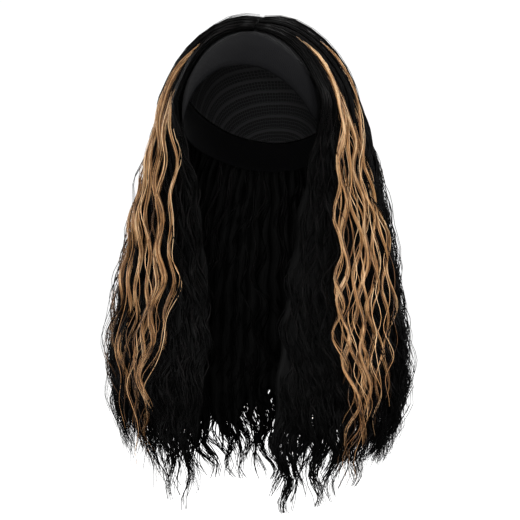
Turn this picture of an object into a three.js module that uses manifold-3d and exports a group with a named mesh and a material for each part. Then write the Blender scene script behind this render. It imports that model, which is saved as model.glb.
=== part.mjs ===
// Half wig: a wide stretch headband, the hollow cap sewn behind it, and long waved hair that is parted over
// the crown, with paler highlight locks at both sides. Millimetres, +Z up, and the face looks along -Y.
// The origin is the top of the cap's inside, where the wearer's crown touches it. Left and right are the
// wearer's own, so the left side lies at +X.

import * as THREE from "three";
import Module from "manifold-3d";

const wasm = await Module();
wasm.setup();

// Head that the wig fits, as half axes of an egg about its widest level
const HEAD_HALF_WIDTH = 76;
const HEAD_HALF_LENGTH = 97;
const CROWN_HEIGHT = 92;

// Clear space between pieces that lie side by side, under hair that lies on the band and the cap, and round a
// highlight in its bed
const SEAM_GAP = 0.7;
const HAIR_SEAT = 0.9;
const BED_GAP = 1.1;

// Headband: its lower edge drops from the forehead to the nape, and its width narrows on the way
const BAND_THICKNESS = 2.2;
const BAND_FRONT_WIDTH = 50;
const BAND_NAPE_WIDTH = 36;
const BAND_FRONT_DROP = 48;
const BAND_NAPE_DROP = 150;
const BAND_EDGE = [
  { azimuth: 0, drop: 0 },
  { azimuth: 20, drop: 0.045 },
  { azimuth: 40, drop: 0.21 },
  { azimuth: 60, drop: 0.49 },
  { azimuth: 80, drop: 0.66 },
  { azimuth: 110, drop: 0.81 },
  { azimuth: 145, drop: 0.95 },
  { azimuth: 180, drop: 1 },
];

// Cap
const CAP_THICKNESS = 1.8;

// Hair: its drop runs from the crown to the longest tips, its lift is how far it stands off the head, and it
// is widest a little behind the ears
const HAIR_DROP = 490;
const HAIR_HALF_WIDTH = 164;
const HAIR_FRONT_REACH = 106;
const HAIR_BACK_REACH = 130;
const WIDEST_BEHIND = 12;
const HAIR_TOP_LIFT = 12;
const HAIR_SIDE_LIFT = 31;
const HAIR_THICKNESS = 20;
const HAIR_EDGE_THICKNESS = 6;
const SIDE_TIP_RISE = 60;
const PARTING_OFFSET = 7;
const PARTING_LEAN = 3.5;

// Plan of the hanging hair at several drops. The front edge is where the hair ends beside the face.
const HANG = [
  { drop: 0.265, width: 0.735, edgeX: 0.41, edgeY: 0.43, back: 0.955 },
  { drop: 0.37, width: 0.825, edgeX: 0.335, edgeY: 0.44, back: 0.96 },
  { drop: 0.495, width: 0.915, edgeX: 0.28, edgeY: 0.46, back: 0.97 },
  { drop: 0.61, width: 0.965, edgeX: 0.25, edgeY: 0.59, back: 0.985 },
  { drop: 0.735, width: 1, edgeX: 0.24, edgeY: 0.84, back: 1 },
  { drop: 0.857, width: 1, edgeX: 0.24, edgeY: 1, back: 0.985 },
  { drop: 1, width: 0.94, edgeX: 0.26, edgeY: 1, back: 0.94 },
];

// Roots along the parting, as shares of the head's half length, and the share of the way over the head where
// the last guide on it stands
const ROOT_FRONT = -0.5;
const ROOT_BACK = 0.2;
const CROWN_END_SHARE = 0.9;

// How full the hair lies: flat at its front edge and at the parting, and full from a share of the way round
// or down. Hair before the sweep's share falls sideways from the parting, more so towards the front.
const FULL_BEHIND = 0.22;
const EDGE_FULLNESS_AT_ROOT = 0.4;
const EDGE_FULLNESS_AT_SIDE = 0.12;
const ROOT_FULLNESS = 0.6;
const FULL_BELOW = 0.15;
const SWEEP_BEHIND = 0.5;

// Tips rise at the sides, most of all at a share of the way round, and within a spread of it
const TIP_RISE_PLACE = 0.42;
const TIP_RISE_SPREAD = 0.22;

// Strands side by side in each side panel, from its front edge back. A bright one is bedded in the dark hair.
const SIDE_STRANDS = [
  { width: 0.6, bright: false },
  { width: 0.5, bright: false },
  { width: 0.7, bright: true },
  { width: 0.4, bright: false },
  { width: 0.95, bright: true },
  { width: 0.85, bright: false },
  { width: 0.85, bright: false },
];
const BACK_STRANDS = 7;
const SIDE_SHARE = 0.53;
const BRIGHT_ROOT_SHARE = 0.85;
const BED_DEPTH = 0.45;
const BED_WALL_SHARE = 0.07;
const GROOVE_DEPTH = 0.26;
const CREST_SHARE = 0.3;
const BRIGHT_ROOT_STAND = 1;
const BRIGHT_STAND = 3;
const BRIGHT_START = 2;
const BRIGHT_RISE_ROWS = 3;
const BRIGHT_TAPER_ROWS = 2;
const BRIGHT_TIP_SHORTFALL = 1.2;

// Rows of the hair's guides, and how far apart its rings stand before each of these rows
const CROWN_ROWS = 7;
const LAST_ROW = CROWN_ROWS + HANG.length - 1;
const RING_STEPS = [
  { before: CROWN_ROWS - 2, step: 1 },
  { before: CROWN_ROWS, step: 0.5 },
  { before: LAST_ROW, step: 0.25 },
];

// Waves, which grow from one row to another
const WAVE_LENGTH = 74;
const WAVE_HEIGHT = 5;
const WAVE_DEPTH = 2.5;
const WAVE_TURNS_ACROSS = 1.6;
const WAVE_START_ROW = CROWN_ROWS - 1;
const WAVE_FULL_ROW = CROWN_ROWS + 2;

// Tips: the row where the strands part into them, how much they draw in, and how many rows apart they end.
// Their taper would reach a point a few tenths of a row below their end.
const FORK_ROW = 10.75;
const TIP_WIDTH_SHARE = 0.3;
const TIP_THICKNESS_SHARE = 0.35;
const TIP_SPREAD = 0.35;
const TIP_BLUNTNESS = 0.4;

const HEAD_COLUMNS = 36;
const BAND_ROWS = 4;
const CAP_RINGS = 6;
const ACROSS_STEP = 0.004;

const finish = (colour, roughness) =>
  new THREE.MeshStandardMaterial({ color: colour, roughness, metalness: 0 });
const BAND_FABRIC = finish(0x1b1b1c, 0.85);
const CAP_NET = finish(0x121213, 0.9);
const BLACK_HAIR = finish(0x0c0b0b, 0.45);
const HONEY_HAIR = finish(0xb07f4c, 0.45);

const { clamp, euclideanModulo, lerp, radToDeg } = THREE.MathUtils;
const ease = (value, from, to) => THREE.MathUtils.smoothstep(value, from, to);

// Value of a table's column at some key, read along smooth curves between its rows
function readTable(rows, key, at, column) {
  const last = rows.length - 1;
  const next = clamp(rows.findIndex((row) => row[key] >= at), 1, last);
  const share = clamp((at - rows[next - 1][key]) / (rows[next][key] - rows[next - 1][key]), 0, 1);
  const value = (n) => rows[clamp(n, 0, last)][column];
  const rises = [(value(next) - value(next - 2)) / 2, (value(next + 1) - value(next - 1)) / 2];
  const square = share * share;
  const cube = square * share;
  return (
    (2 * cube - 3 * square + 1) * value(next - 1) +
    (cube - 2 * square + share) * rises[0] +
    (3 * square - 2 * cube) * value(next) +
    (cube - square) * rises[1]
  );
}

// Closed surface, built ring by ring, whose faces end up pointing outwards
class Skin {
  points = [];
  faces = [];

  ring(points) {
    const start = this.points.length;
    this.points.push(...points);
    return points.map((_, i) => start + i);
  }

  bridge(ring, next) {
    ring.forEach((a, i) => {
      const j = (i + 1) % ring.length;
      this.faces.push([a, ring[j], next[j]], [a, next[j], next[i]]);
    });
  }

  closeToPoint(ring, point, atStart = false) {
    const [apex] = this.ring([point]);
    ring.forEach((a, i) => {
      const b = ring[(i + 1) % ring.length];
      this.faces.push(atStart ? [apex, b, a] : [apex, a, b]);
    });
  }

  closeAcross(ring) {
    for (let i = 0; i < ring.length / 2 - 1; i++) {
      const [a, b] = [ring[i], ring[i + 1]];
      const [d, c] = [ring[ring.length - 1 - i], ring[ring.length - 2 - i]];
      this.faces.push([a, c, b], [a, d, c]);
    }
  }

  solid() {
    const volume = this.faces.reduce((total, face) => {
      const [a, b, c] = face.map((i) => this.points[i]);
      return total + a.dot(b.clone().cross(c));
    }, 0);
    const faces = volume < 0 ? this.faces.map(([a, b, c]) => [a, c, b]) : this.faces;
    return new wasm.Manifold(
      new wasm.Mesh({
        numProp: 3,
        vertProperties: new Float32Array(this.points.flatMap((p) => p.toArray())),
        triVerts: new Uint32Array(faces.flat()),
      }),
    );
  }
}

// Solid as a named mesh
function meshOf(name, solid, material) {
  const { vertProperties, triVerts } = solid.getMesh();
  const geometry = new THREE.BufferGeometry();
  geometry.setAttribute("position", new THREE.BufferAttribute(vertProperties, 3));
  geometry.setIndex(new THREE.BufferAttribute(triVerts, 1));
  geometry.computeVertexNormals();
  const mesh = new THREE.Mesh(geometry, material);
  mesh.name = name;
  return mesh;
}

// Point off the head in a direction, which is a unit vector in the head's own proportions
function offHead(direction, lift) {
  const axes = new THREE.Vector3(HEAD_HALF_WIDTH, HEAD_HALF_LENGTH, CROWN_HEIGHT);
  const normal = direction.clone().divide(axes).normalize();
  const point = direction.clone().multiply(axes);
  point.z -= CROWN_HEIGHT;
  return point.addScaledVector(normal, lift);
}

// Direction at an azimuth from the face, counted towards the wearer's left, and a polar angle from the crown
function headDirection(azimuth, polar) {
  return new THREE.Vector3(
    Math.sin(polar) * Math.sin(azimuth),
    -Math.sin(polar) * Math.cos(azimuth),
    Math.cos(polar),
  );
}

// Polar angles of the headband's two edges at an azimuth
function bandEdges(azimuth) {
  const turned = Math.abs(euclideanModulo(azimuth + Math.PI, 2 * Math.PI) - Math.PI);
  const share = readTable(BAND_EDGE, "azimuth", radToDeg(turned), "drop");
  const drop = lerp(BAND_FRONT_DROP, BAND_NAPE_DROP, share);
  const width = lerp(BAND_FRONT_WIDTH, BAND_NAPE_WIDTH, ease(turned, 0, Math.PI));
  const radius = (CROWN_HEIGHT + lerp(HEAD_HALF_LENGTH, HEAD_HALF_WIDTH, Math.sin(turned) ** 2)) / 2;
  const lower = Math.acos(1 - drop / CROWN_HEIGHT);
  return { upper: lower - width / radius, lower };
}

// Stretch band: a closed profile at each azimuth, with its two edges a little rounded
function headband() {
  const skin = new Skin();
  const rings = Array.from({ length: HEAD_COLUMNS }, (_, column) => {
    const azimuth = (2 * Math.PI * column) / HEAD_COLUMNS;
    const { upper, lower } = bandEdges(azimuth);
    const profile = [];
    for (let row = 0; row <= BAND_ROWS; row++) {
      const polar = lerp(upper, lower, row / BAND_ROWS);
      const rounding = row % BAND_ROWS === 0 ? BAND_THICKNESS / 4 : 0;
      profile.push(offHead(headDirection(azimuth, polar), BAND_THICKNESS - rounding));
      profile.unshift(offHead(headDirection(azimuth, polar), rounding));
    }
    return skin.ring(profile);
  });
  rings.forEach((ring, i) => skin.bridge(ring, rings[(i + 1) % rings.length]));
  return skin.solid();
}

// Hollow cap that fills the ring of the band: rings from the crown's outside down to the rim and up inside
function cap() {
  const skin = new Skin();
  const seam = SEAM_GAP / CROWN_HEIGHT;
  const ringAt = (share, lift) =>
    skin.ring(
      Array.from({ length: HEAD_COLUMNS }, (_, column) => {
        const azimuth = (2 * Math.PI * column) / HEAD_COLUMNS;
        return offHead(headDirection(azimuth, (bandEdges(azimuth).upper - seam) * share), lift);
      }),
    );
  const shares = Array.from({ length: CAP_RINGS }, (_, i) => (i + 1) / CAP_RINGS);
  const outside = shares.map((share) => ringAt(share, CAP_THICKNESS));
  const inside = shares.toReversed().map((share) => ringAt(share, 0));
  const rings = [...outside, ...inside];
  const crown = new THREE.Vector3(0, 0, 1);
  rings.slice(1).forEach((ring, i) => skin.bridge(rings[i], ring));
  skin.closeToPoint(rings[0], offHead(crown, CAP_THICKNESS), true);
  skin.closeToPoint(rings.at(-1), offHead(crown, 0));
  return skin.solid();
}

// Place of hair round the head: 1 is the front edge on the left, 0 the middle of the back, -1 the right
// front. Depth is 0 on the hair's outer surface and 1 on its inner one.

// Direction over the crown, from the parting at share 0 to where the hair hangs free at share 1
function crownDirection(place, share) {
  const side = place < 0 ? -1 : 1;
  const fromFront = 1 - Math.abs(place);
  const rootY = lerp(ROOT_FRONT, ROOT_BACK, fromFront);
  const rootTurn = (PARTING_OFFSET + (side * SEAM_GAP) / 2) / HEAD_HALF_WIDTH;
  const hung = hangRow(place, HANG[0]).outer;
  const end = new THREE.Vector3(hung.x / HEAD_HALF_WIDTH, hung.y / HEAD_HALF_LENGTH, 0).normalize();
  const y = lerp(rootY, end.y, ease(share, 0, 1));
  const turn = lerp(rootTurn, (side * Math.PI) / 2, share);
  const radius = Math.sqrt(1 - y * y);
  const sideways = new THREE.Vector3(radius * Math.sin(turn), y, radius * Math.cos(turn));
  const rootRadius = Math.sqrt(1 - rootY * rootY);
  const root = new THREE.Vector3(rootRadius * Math.sin(rootTurn), rootY, rootRadius * Math.cos(rootTurn));
  const arc = root.angleTo(end);
  const straight = root
    .multiplyScalar(Math.sin((1 - share) * arc) / Math.sin(arc))
    .addScaledVector(end, Math.sin(share * arc) / Math.sin(arc));
  return sideways.lerp(straight, ease(fromFront, 0, SWEEP_BEHIND)).normalize();
}

// Inner and outer points of the hair over the crown
function crownRow(place, share) {
  const fromFront = 1 - Math.abs(place);
  const direction = crownDirection(place, share);
  const seat = BAND_THICKNESS + HAIR_SEAT;
  const edge = lerp(EDGE_FULLNESS_AT_ROOT, EDGE_FULLNESS_AT_SIDE, share);
  const rootward = lerp(ROOT_FULLNESS, 1, ease(share, 0, FULL_BELOW));
  const fullness = lerp(edge, 1, ease(fromFront, 0, FULL_BEHIND)) * rootward;
  const lean = Math.sign(place) * PARTING_LEAN * Math.sin(Math.PI * share);
  const lift = lerp(HAIR_TOP_LIFT, HAIR_SIDE_LIFT, share ** 2) + lean;
  const inner = Math.max(seat, lift - HAIR_THICKNESS);
  const outer = Math.max(inner + HAIR_EDGE_THICKNESS, lerp(inner, lift, fullness));
  return { outer: offHead(direction, outer), inner: offHead(direction, inner) };
}

// Inner and outer points of the hanging hair at a row of its plan
function hangRow(place, row) {
  const side = place < 0 ? -1 : 1;
  const fromFront = 1 - Math.abs(place);
  const width = row.width * HAIR_HALF_WIDTH;
  const start = Math.asin((row.edgeX * HAIR_HALF_WIDTH) / width);
  const azimuth = lerp(start, Math.PI, fromFront);
  const front = (row.edgeY * HAIR_FRONT_REACH + WIDEST_BEHIND) / Math.cos(start);
  const reach = azimuth < Math.PI / 2 ? front : row.back * HAIR_BACK_REACH - WIDEST_BEHIND;
  const aside = (fromFront - TIP_RISE_PLACE) / TIP_RISE_SPREAD;
  const shortness = Math.exp(-(aside ** 2)) * ease(row.drop, HANG[2].drop, 1);
  const z = SIDE_TIP_RISE * shortness - row.drop * HAIR_DROP;
  const y = WIDEST_BEHIND - reach * Math.cos(azimuth);
  const outer = new THREE.Vector3(side * width * Math.sin(azimuth), y, z);
  const outward = new THREE.Vector3((side * Math.sin(azimuth)) / width, -Math.cos(azimuth) / reach, 0);
  const thickness = lerp(HAIR_EDGE_THICKNESS, HAIR_THICKNESS, ease(fromFront, 0, FULL_BEHIND));
  const inner = outer.clone().addScaledVector(outward.normalize(), -thickness);
  const seat = BAND_THICKNESS + HAIR_SEAT;
  const level = (z + CROWN_HEIGHT) / (CROWN_HEIGHT + seat);
  if (Math.abs(level) < 1) {
    const ring = Math.sqrt(1 - level * level);
    const room = Math.hypot(
      inner.x / (HEAD_HALF_WIDTH + seat) / ring,
      inner.y / (HEAD_HALF_LENGTH + seat) / ring,
    );
    if (room < 1) {
      inner.set(inner.x / room, inner.y / room, z);
      const least = inner.clone().addScaledVector(outward, HAIR_EDGE_THICKNESS);
      if (least.sub(outer).dot(outward) > 0) outer.copy(inner).addScaledVector(outward, HAIR_EDGE_THICKNESS);
    }
  }
  return { outer, inner };
}

// Guides of the hair at a place, through every row of the crown and of the plan
const guideStore = new Map();
function guidesAt(place) {
  const key = place.toFixed(5);
  if (!guideStore.has(key)) {
    const shares = Array.from({ length: CROWN_ROWS }, (_, i) => (CROWN_END_SHARE * i) / (CROWN_ROWS - 1));
    const crown = shares.map((share) => crownRow(place, share));
    const rows = [...crown, ...HANG.map((row) => hangRow(place, row))];
    const curve = (face) => new THREE.CatmullRomCurve3(rows.map((row) => row[face]), false, "centripetal");
    guideStore.set(key, { outer: curve("outer"), inner: curve("inner") });
  }
  return guideStore.get(key);
}

// Point of the hair at a place, a row and a depth, some millimetres aside and deeper, with its wave
function hairPoint(place, row, depth, aside = 0, deeper = 0) {
  const at = row / LAST_ROW;
  const { outer, inner } = guidesAt(place);
  const point = outer.getPoint(at);
  const inward = inner.getPoint(at).sub(point);
  const thickness = inward.length();
  const across = guidesAt(Math.min(place + ACROSS_STEP, 1)).outer.getPoint(at);
  across.sub(guidesAt(Math.max(place - ACROSS_STEP, -1)).outer.getPoint(at)).normalize();
  const freedom = ease(row, WAVE_START_ROW, WAVE_FULL_ROW);
  const phase = 2 * Math.PI * (point.z / WAVE_LENGTH + place * WAVE_TURNS_ACROSS);
  return point
    .addScaledVector(across, aside + WAVE_HEIGHT * freedom * Math.sin(phase))
    .addScaledVector(inward, depth + (deeper + WAVE_DEPTH * freedom * Math.cos(phase)) / thickness);
}

// Edges of the strands in a panel at a row, which give bright ones less room near their roots
function strandEdges(panel, row) {
  const widths = panel.strands.map((strand) => {
    const share = strand.bright ? lerp(BRIGHT_ROOT_SHARE, 1, ease(row, BRIGHT_START, WAVE_FULL_ROW)) : 1;
    return strand.width * share;
  });
  const total = widths.reduce((sum, width) => sum + width, 0);
  const edges = [0];
  widths.forEach((width) => edges.push(edges.at(-1) + width));
  return edges.map((edge) => lerp(panel.from, panel.to, edge / total));
}

// Outline of one strand across a row: two edges and two crest points outside, and the same inside.
// A tip draws in about its middle as its taper falls from 1 to 0.
function strandOutline(panel, index, row, taper) {
  const edges = strandEdges(panel, row);
  const { bright } = panel.strands[index];
  const middle = (edges[index] + edges[index + 1]) / 2;
  const way = Math.sign(panel.to - panel.from);
  const inset = (atEdge) => (atEdge ? SEAM_GAP / 2 : 0);
  const bedded = bright ? ease(row, 0, BRIGHT_START) : 0;
  const crest = lerp(CREST_SHARE, BED_WALL_SHARE, bedded);
  const crestDepth = bedded * BED_DEPTH;
  const groove = bright ? lerp(BED_DEPTH, GROOVE_DEPTH, taper) : GROOVE_DEPTH;
  const columns = [
    { share: 0, depth: groove, aside: way * inset(index === 0) },
    { share: crest, depth: crestDepth, aside: 0 },
    { share: 1 - crest, depth: crestDepth, aside: 0 },
    { share: 1, depth: groove, aside: -way * inset(index === panel.strands.length - 1) },
  ];
  const across = lerp(TIP_WIDTH_SHARE, 1, taper);
  const through = lerp(TIP_THICKNESS_SHARE, 1, taper);
  const pointAt = ({ share, depth, aside }, face) => {
    const place = lerp(middle, lerp(edges[index], edges[index + 1], share), across);
    return hairPoint(place, row, 0.5 + ((face === "inner" ? 1 : depth) - 0.5) * through, aside);
  };
  return {
    outer: columns.map((column) => pointAt(column, "outer")),
    inner: columns.map((column) => pointAt(column, "inner")),
  };
}

// Rows of the rings in a stretch of hair. The last two are never closer than half a step.
function rowsBetween(from, to) {
  const rows = [];
  let row = from;
  while (row < to - RING_STEPS.at(-1).step / 2) {
    rows.push(row);
    row += RING_STEPS.find(({ before }) => row < before).step;
  }
  return [...rows, to];
}

// Last row of a strand's tip, which ends higher or lower than its neighbours'
function tipRow(index) {
  return LAST_ROW - TIP_SPREAD * [0, 1, 0.5][index % 3];
}

// Panel of dark hair: a wall in ridges that parts into separate tips
function darkPanel(panel) {
  const skin = new Skin();
  const rings = rowsBetween(0, FORK_ROW).map((row) => {
    const outlines = panel.strands.map((_, index) => strandOutline(panel, index, row, 1));
    const wall = (face) => [
      ...outlines.flatMap((outline) => outline[face].slice(0, 3)),
      outlines.at(-1)[face][3],
    ];
    return skin.ring([...wall("outer"), ...wall("inner").reverse()]);
  });
  rings.slice(1).forEach((ring, i) => skin.bridge(rings[i], ring));
  skin.closeAcross(rings[0]);
  const fork = rings.at(-1);
  panel.strands.forEach((_, index) => {
    const first = 3 * index;
    const facing = fork.length - 1 - first;
    let last = [...fork.slice(first, first + 4), ...fork.slice(facing - 3, facing + 1)];
    const end = tipRow(index);
    for (const row of rowsBetween(FORK_ROW, end).slice(1)) {
      const taper = 1 - ease(row, FORK_ROW, end + TIP_BLUNTNESS);
      const { outer, inner } = strandOutline(panel, index, row, taper);
      const ring = skin.ring([...outer, ...inner.reverse()]);
      skin.bridge(last, ring);
      last = ring;
    }
    const edges = strandEdges(panel, LAST_ROW);
    skin.closeToPoint(last, hairPoint((edges[index] + edges[index + 1]) / 2, LAST_ROW, 0.5));
  });
  return skin.solid();
}

// Highlight lock that lies in its bed in a panel and stands a little proud of the dark hair
function brightLock(panel, index) {
  const skin = new Skin();
  const way = Math.sign(panel.to - panel.from);
  const end = LAST_ROW - BRIGHT_TIP_SHORTFALL;
  const rings = rowsBetween(BRIGHT_START, end).map((row) => {
    const edges = strandEdges(panel, row);
    const taper = 1 - ease(row, end - BRIGHT_TAPER_ROWS, end + TIP_BLUNTNESS);
    const bedTaper = 1 - ease(row, FORK_ROW, tipRow(index) + TIP_BLUNTNESS);
    const middle = (edges[index] + edges[index + 1]) / 2;
    const narrowing = lerp(TIP_WIDTH_SHARE, 1, taper) * lerp(TIP_WIDTH_SHARE, 1, bedTaper);
    const risen = ease(row, BRIGHT_START, BRIGHT_START + BRIGHT_RISE_ROWS);
    const stand = lerp(BRIGHT_ROOT_STAND, BRIGHT_STAND, risen) * taper;
    const at = (share, depth, deeper) => {
      const place = lerp(middle, lerp(edges[index], edges[index + 1], share), narrowing);
      return hairPoint(place, row, depth, way * BED_GAP * (1 - 2 * share), deeper);
    };
    return skin.ring([
      at(0, GROOVE_DEPTH, -stand / 2),
      at(CREST_SHARE, 0, -stand),
      at(1 - CREST_SHARE, 0, -stand),
      at(1, GROOVE_DEPTH, -stand / 2),
      at(1 - 2 * BED_WALL_SHARE, BED_DEPTH, -BED_GAP),
      at(2 * BED_WALL_SHARE, BED_DEPTH, -BED_GAP),
    ]);
  });
  rings.slice(1).forEach((ring, i) => skin.bridge(rings[i], ring));
  const centre = (ring) =>
    ring.reduce((sum, i) => sum.add(skin.points[i]), new THREE.Vector3()).divideScalar(ring.length);
  skin.closeToPoint(rings[0], centre(rings[0]), true);
  skin.closeToPoint(rings.at(-1), centre(rings.at(-1)));
  return skin.solid();
}

const PANELS = {
  hair_left: { from: 1, to: 1 - SIDE_SHARE, strands: SIDE_STRANDS },
  hair_right: { from: -1, to: SIDE_SHARE - 1, strands: SIDE_STRANDS },
  hair_back: {
    from: 1 - SIDE_SHARE,
    to: SIDE_SHARE - 1,
    strands: Array.from({ length: BACK_STRANDS }, () => ({ width: 1, bright: false })),
  },
};

const wig = new THREE.Group();
wig.add(meshOf("headband", headband(), BAND_FABRIC));
wig.add(meshOf("cap", cap(), CAP_NET));
for (const [name, panel] of Object.entries(PANELS)) {
  wig.add(meshOf(name, darkPanel(panel), BLACK_HAIR));
  const bright = panel.strands.flatMap((strand, index) => (strand.bright ? [index] : []));
  bright.forEach((index, n) => {
    wig.add(meshOf(`${name.replace("hair", "highlight")}_${n + 1}`, brightLock(panel, index), HONEY_HAIR));
  });
}

export default wig;
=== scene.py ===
"""Half wig as it is worn: stretch headband, net cap, and long waved hair with honey-blonde locks.

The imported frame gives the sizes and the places. Lengths here are millimetres, +Z is up, the face looks
along -Y and the wearer's left is +X. Meshes are turned to metres as they are written.

A point of the hair has a place round the head and a row down the hair. Place 1 is the front edge on the
wearer's left, 0 is the middle of the back and -1 is the front edge on the right.
"""

from __future__ import annotations

import logging
import math
from dataclasses import dataclass, field
from enum import Enum

import bmesh
import bpy
import numpy as np
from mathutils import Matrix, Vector

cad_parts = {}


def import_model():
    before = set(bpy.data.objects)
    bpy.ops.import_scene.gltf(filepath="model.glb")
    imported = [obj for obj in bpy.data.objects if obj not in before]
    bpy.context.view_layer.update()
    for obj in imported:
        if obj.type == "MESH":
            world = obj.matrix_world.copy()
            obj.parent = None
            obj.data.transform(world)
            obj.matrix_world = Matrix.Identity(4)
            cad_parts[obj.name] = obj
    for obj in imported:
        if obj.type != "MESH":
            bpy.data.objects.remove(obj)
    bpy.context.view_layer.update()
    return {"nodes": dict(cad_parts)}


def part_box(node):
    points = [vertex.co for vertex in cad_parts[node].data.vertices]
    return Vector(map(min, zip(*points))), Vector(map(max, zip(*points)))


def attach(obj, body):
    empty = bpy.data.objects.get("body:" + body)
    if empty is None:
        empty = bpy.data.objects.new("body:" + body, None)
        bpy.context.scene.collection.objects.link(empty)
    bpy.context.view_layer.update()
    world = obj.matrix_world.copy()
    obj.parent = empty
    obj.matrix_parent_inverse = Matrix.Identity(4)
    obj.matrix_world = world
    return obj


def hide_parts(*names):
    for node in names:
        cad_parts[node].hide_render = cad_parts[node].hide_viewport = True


Span = tuple[float, float]
Stops = tuple[tuple[float, str], ...]
MM = 0.001
TURN = 2 * math.pi

# Length of one unit of place, measured round the outside of the hair.
PLACE_LENGTH = 450.0
# Hair that starts above this row starts at the parting.
PARTING_ROW = 0.5
# How far the solids' ridges stand out past the hair's own half width and reach behind.
RIDGE_RISE = 1.0
LOG = logging.getLogger("half_wig")


class Region(Enum):
    """Stretch of the hair round the head: the places of its ends, and its tip.

    The tip is how much lower its locks end than the others, in rows.
    """

    LEFT = (0.47, 1.0, 0.12)
    BACK_LEFT = (0.0, 0.47, 0.05)
    BACK_RIGHT = (-0.47, 0.0, 0.05)
    RIGHT = (-1.0, -0.47, -0.02)


# Small tools


def ease(value: np.ndarray | float, start: float, end: float) -> np.ndarray:
    """Smooth step.

    Args:
        value: Values to map.
        start: Value that gives 0.
        end: Value that gives 1.

    Returns:
        Shares from 0 to 1 that start and end gently.
    """
    share = np.clip((np.asarray(value, float) - start) / (end - start), 0.0, 1.0)
    return share * share * (3.0 - 2.0 * share)


def lerp(start: np.ndarray | float, end: np.ndarray | float, share: np.ndarray | float) -> np.ndarray:
    """Straight blend from start at share 0 to end at share 1."""
    return start + (end - start) * share


def hermite(
    start: np.ndarray | float,
    end: np.ndarray | float,
    rise: np.ndarray | float,
    land: np.ndarray | float,
    share: np.ndarray | float,
) -> np.ndarray | float:
    """Cubic curve between two values.

    Args:
        start: Value at share 0.
        end: Value at share 1.
        rise: Slope that the curve leaves the start with.
        land: Slope that it reaches the end with.
        share: How far along to read it.

    Returns:
        The curve's value.
    """
    square, cube = share**2, share**3
    return (
        (2 * cube - 3 * square + 1) * start
        + (cube - 2 * square + share) * rise
        + (3 * square - 2 * cube) * end
        + (cube - square) * land
    )


def unit(vectors: np.ndarray) -> np.ndarray:
    """Vectors along the last axis, made one long."""
    return vectors / np.maximum(np.linalg.norm(vectors, axis=-1, keepdims=True), 1e-9)


def toward(polar: float, azimuth: float) -> np.ndarray:
    """Unit vector at an angle down from the crown and an azimuth from the face, in radians."""
    out = math.sin(polar)
    return np.array([out * math.sin(azimuth), -out * math.cos(azimuth), math.cos(polar)])


def linear(code: str) -> tuple[float, float, float, float]:
    """Colour for a socket.

    Args:
        code: sRGB colour as six hex digits.

    Returns:
        The colour in linear light, with full alpha.
    """
    shares = [int(code[i : i + 2], 16) / 255 for i in (0, 2, 4)]
    light = [s / 12.92 if s <= 0.04045 else ((s + 0.055) / 1.055) ** 2.4 for s in shares]
    return (light[0], light[1], light[2], 1.0)


def connect(
    tree: bpy.types.NodeTree, node: bpy.types.Node, links: dict[str | int, bpy.types.NodeSocket]
) -> None:
    """Links output sockets to a node's inputs, by name or number."""
    for name, socket in links.items():
        tree.links.new(socket, node.inputs[name])


def add_node(
    tree: bpy.types.NodeTree,
    kind: str,
    settings: dict[str, object] | None = None,
    values: dict[str | int, object] | None = None,
    links: dict[str | int, bpy.types.NodeSocket] | None = None,
    stops: Stops = (),
) -> bpy.types.Node:
    """Adds a node to a tree.

    Args:
        tree: Tree that gets the node.
        kind: Node's type name.
        settings: Values of the node's own properties.
        values: Values of its input sockets.
        links: Output sockets that its inputs take their value from.
        stops: Positions and sRGB hex colours of its ramp, if it has one.

    Returns:
        The node.
    """
    node = tree.nodes.new(kind)
    for name, value in (settings or {}).items():
        setattr(node, name, value)
    for name, value in (values or {}).items():
        node.inputs[name].default_value = value
    connect(tree, node, links or {})
    elements = node.color_ramp.elements if stops else []
    while len(elements) < len(stops):
        elements.new(0.5)
    for element, (position, code) in zip(elements, stops):
        element.position = position
        element.color = linear(code)
    return node


def new_material(
    name: str, values: dict[str, object]
) -> tuple[bpy.types.Material, bpy.types.NodeTree, bpy.types.Node]:
    """Makes a node material.

    Args:
        name: Material's name.
        values: What is the same all over the surface, by the shader's socket.

    Returns:
        The material, its tree and its Principled shader.
    """
    material = bpy.data.materials.new(name)
    material.use_nodes = True
    tree = material.node_tree
    shader = tree.nodes["Principled BSDF"]
    for socket, value in values.items():
        shader.inputs[socket].default_value = value
    return material, tree, shader


def show(mesh: bpy.types.Mesh, name: str, material: bpy.types.Material) -> bpy.types.Object:
    """Links a mesh as a smooth-shaded piece that rides on the wig's one body.

    Args:
        mesh: Mesh in metres.
        name: Piece's name.
        material: Its finish.

    Returns:
        The piece.
    """
    mesh.materials.append(material)
    mesh.shade_smooth()
    piece = bpy.data.objects.new(name, mesh)
    bpy.context.scene.collection.objects.link(piece)
    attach(piece, "root")
    LOG.info("%s: %d triangles", name, sum(len(p.vertices) - 2 for p in mesh.polygons))
    return piece


def piece_from(bm: bmesh.types.BMesh, name: str, material: bpy.types.Material) -> bpy.types.Object:
    """Turns a bmesh into a piece.

    Args:
        bm: Mesh in millimetres, which is freed.
        name: Piece's name.
        material: Its finish.

    Returns:
        The piece.
    """
    bmesh.ops.scale(bm, vec=(MM, MM, MM), verts=bm.verts)
    mesh = bpy.data.meshes.new(name)
    bm.to_mesh(mesh)
    bm.free()
    return show(mesh, name, material)


# Finishes


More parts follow.
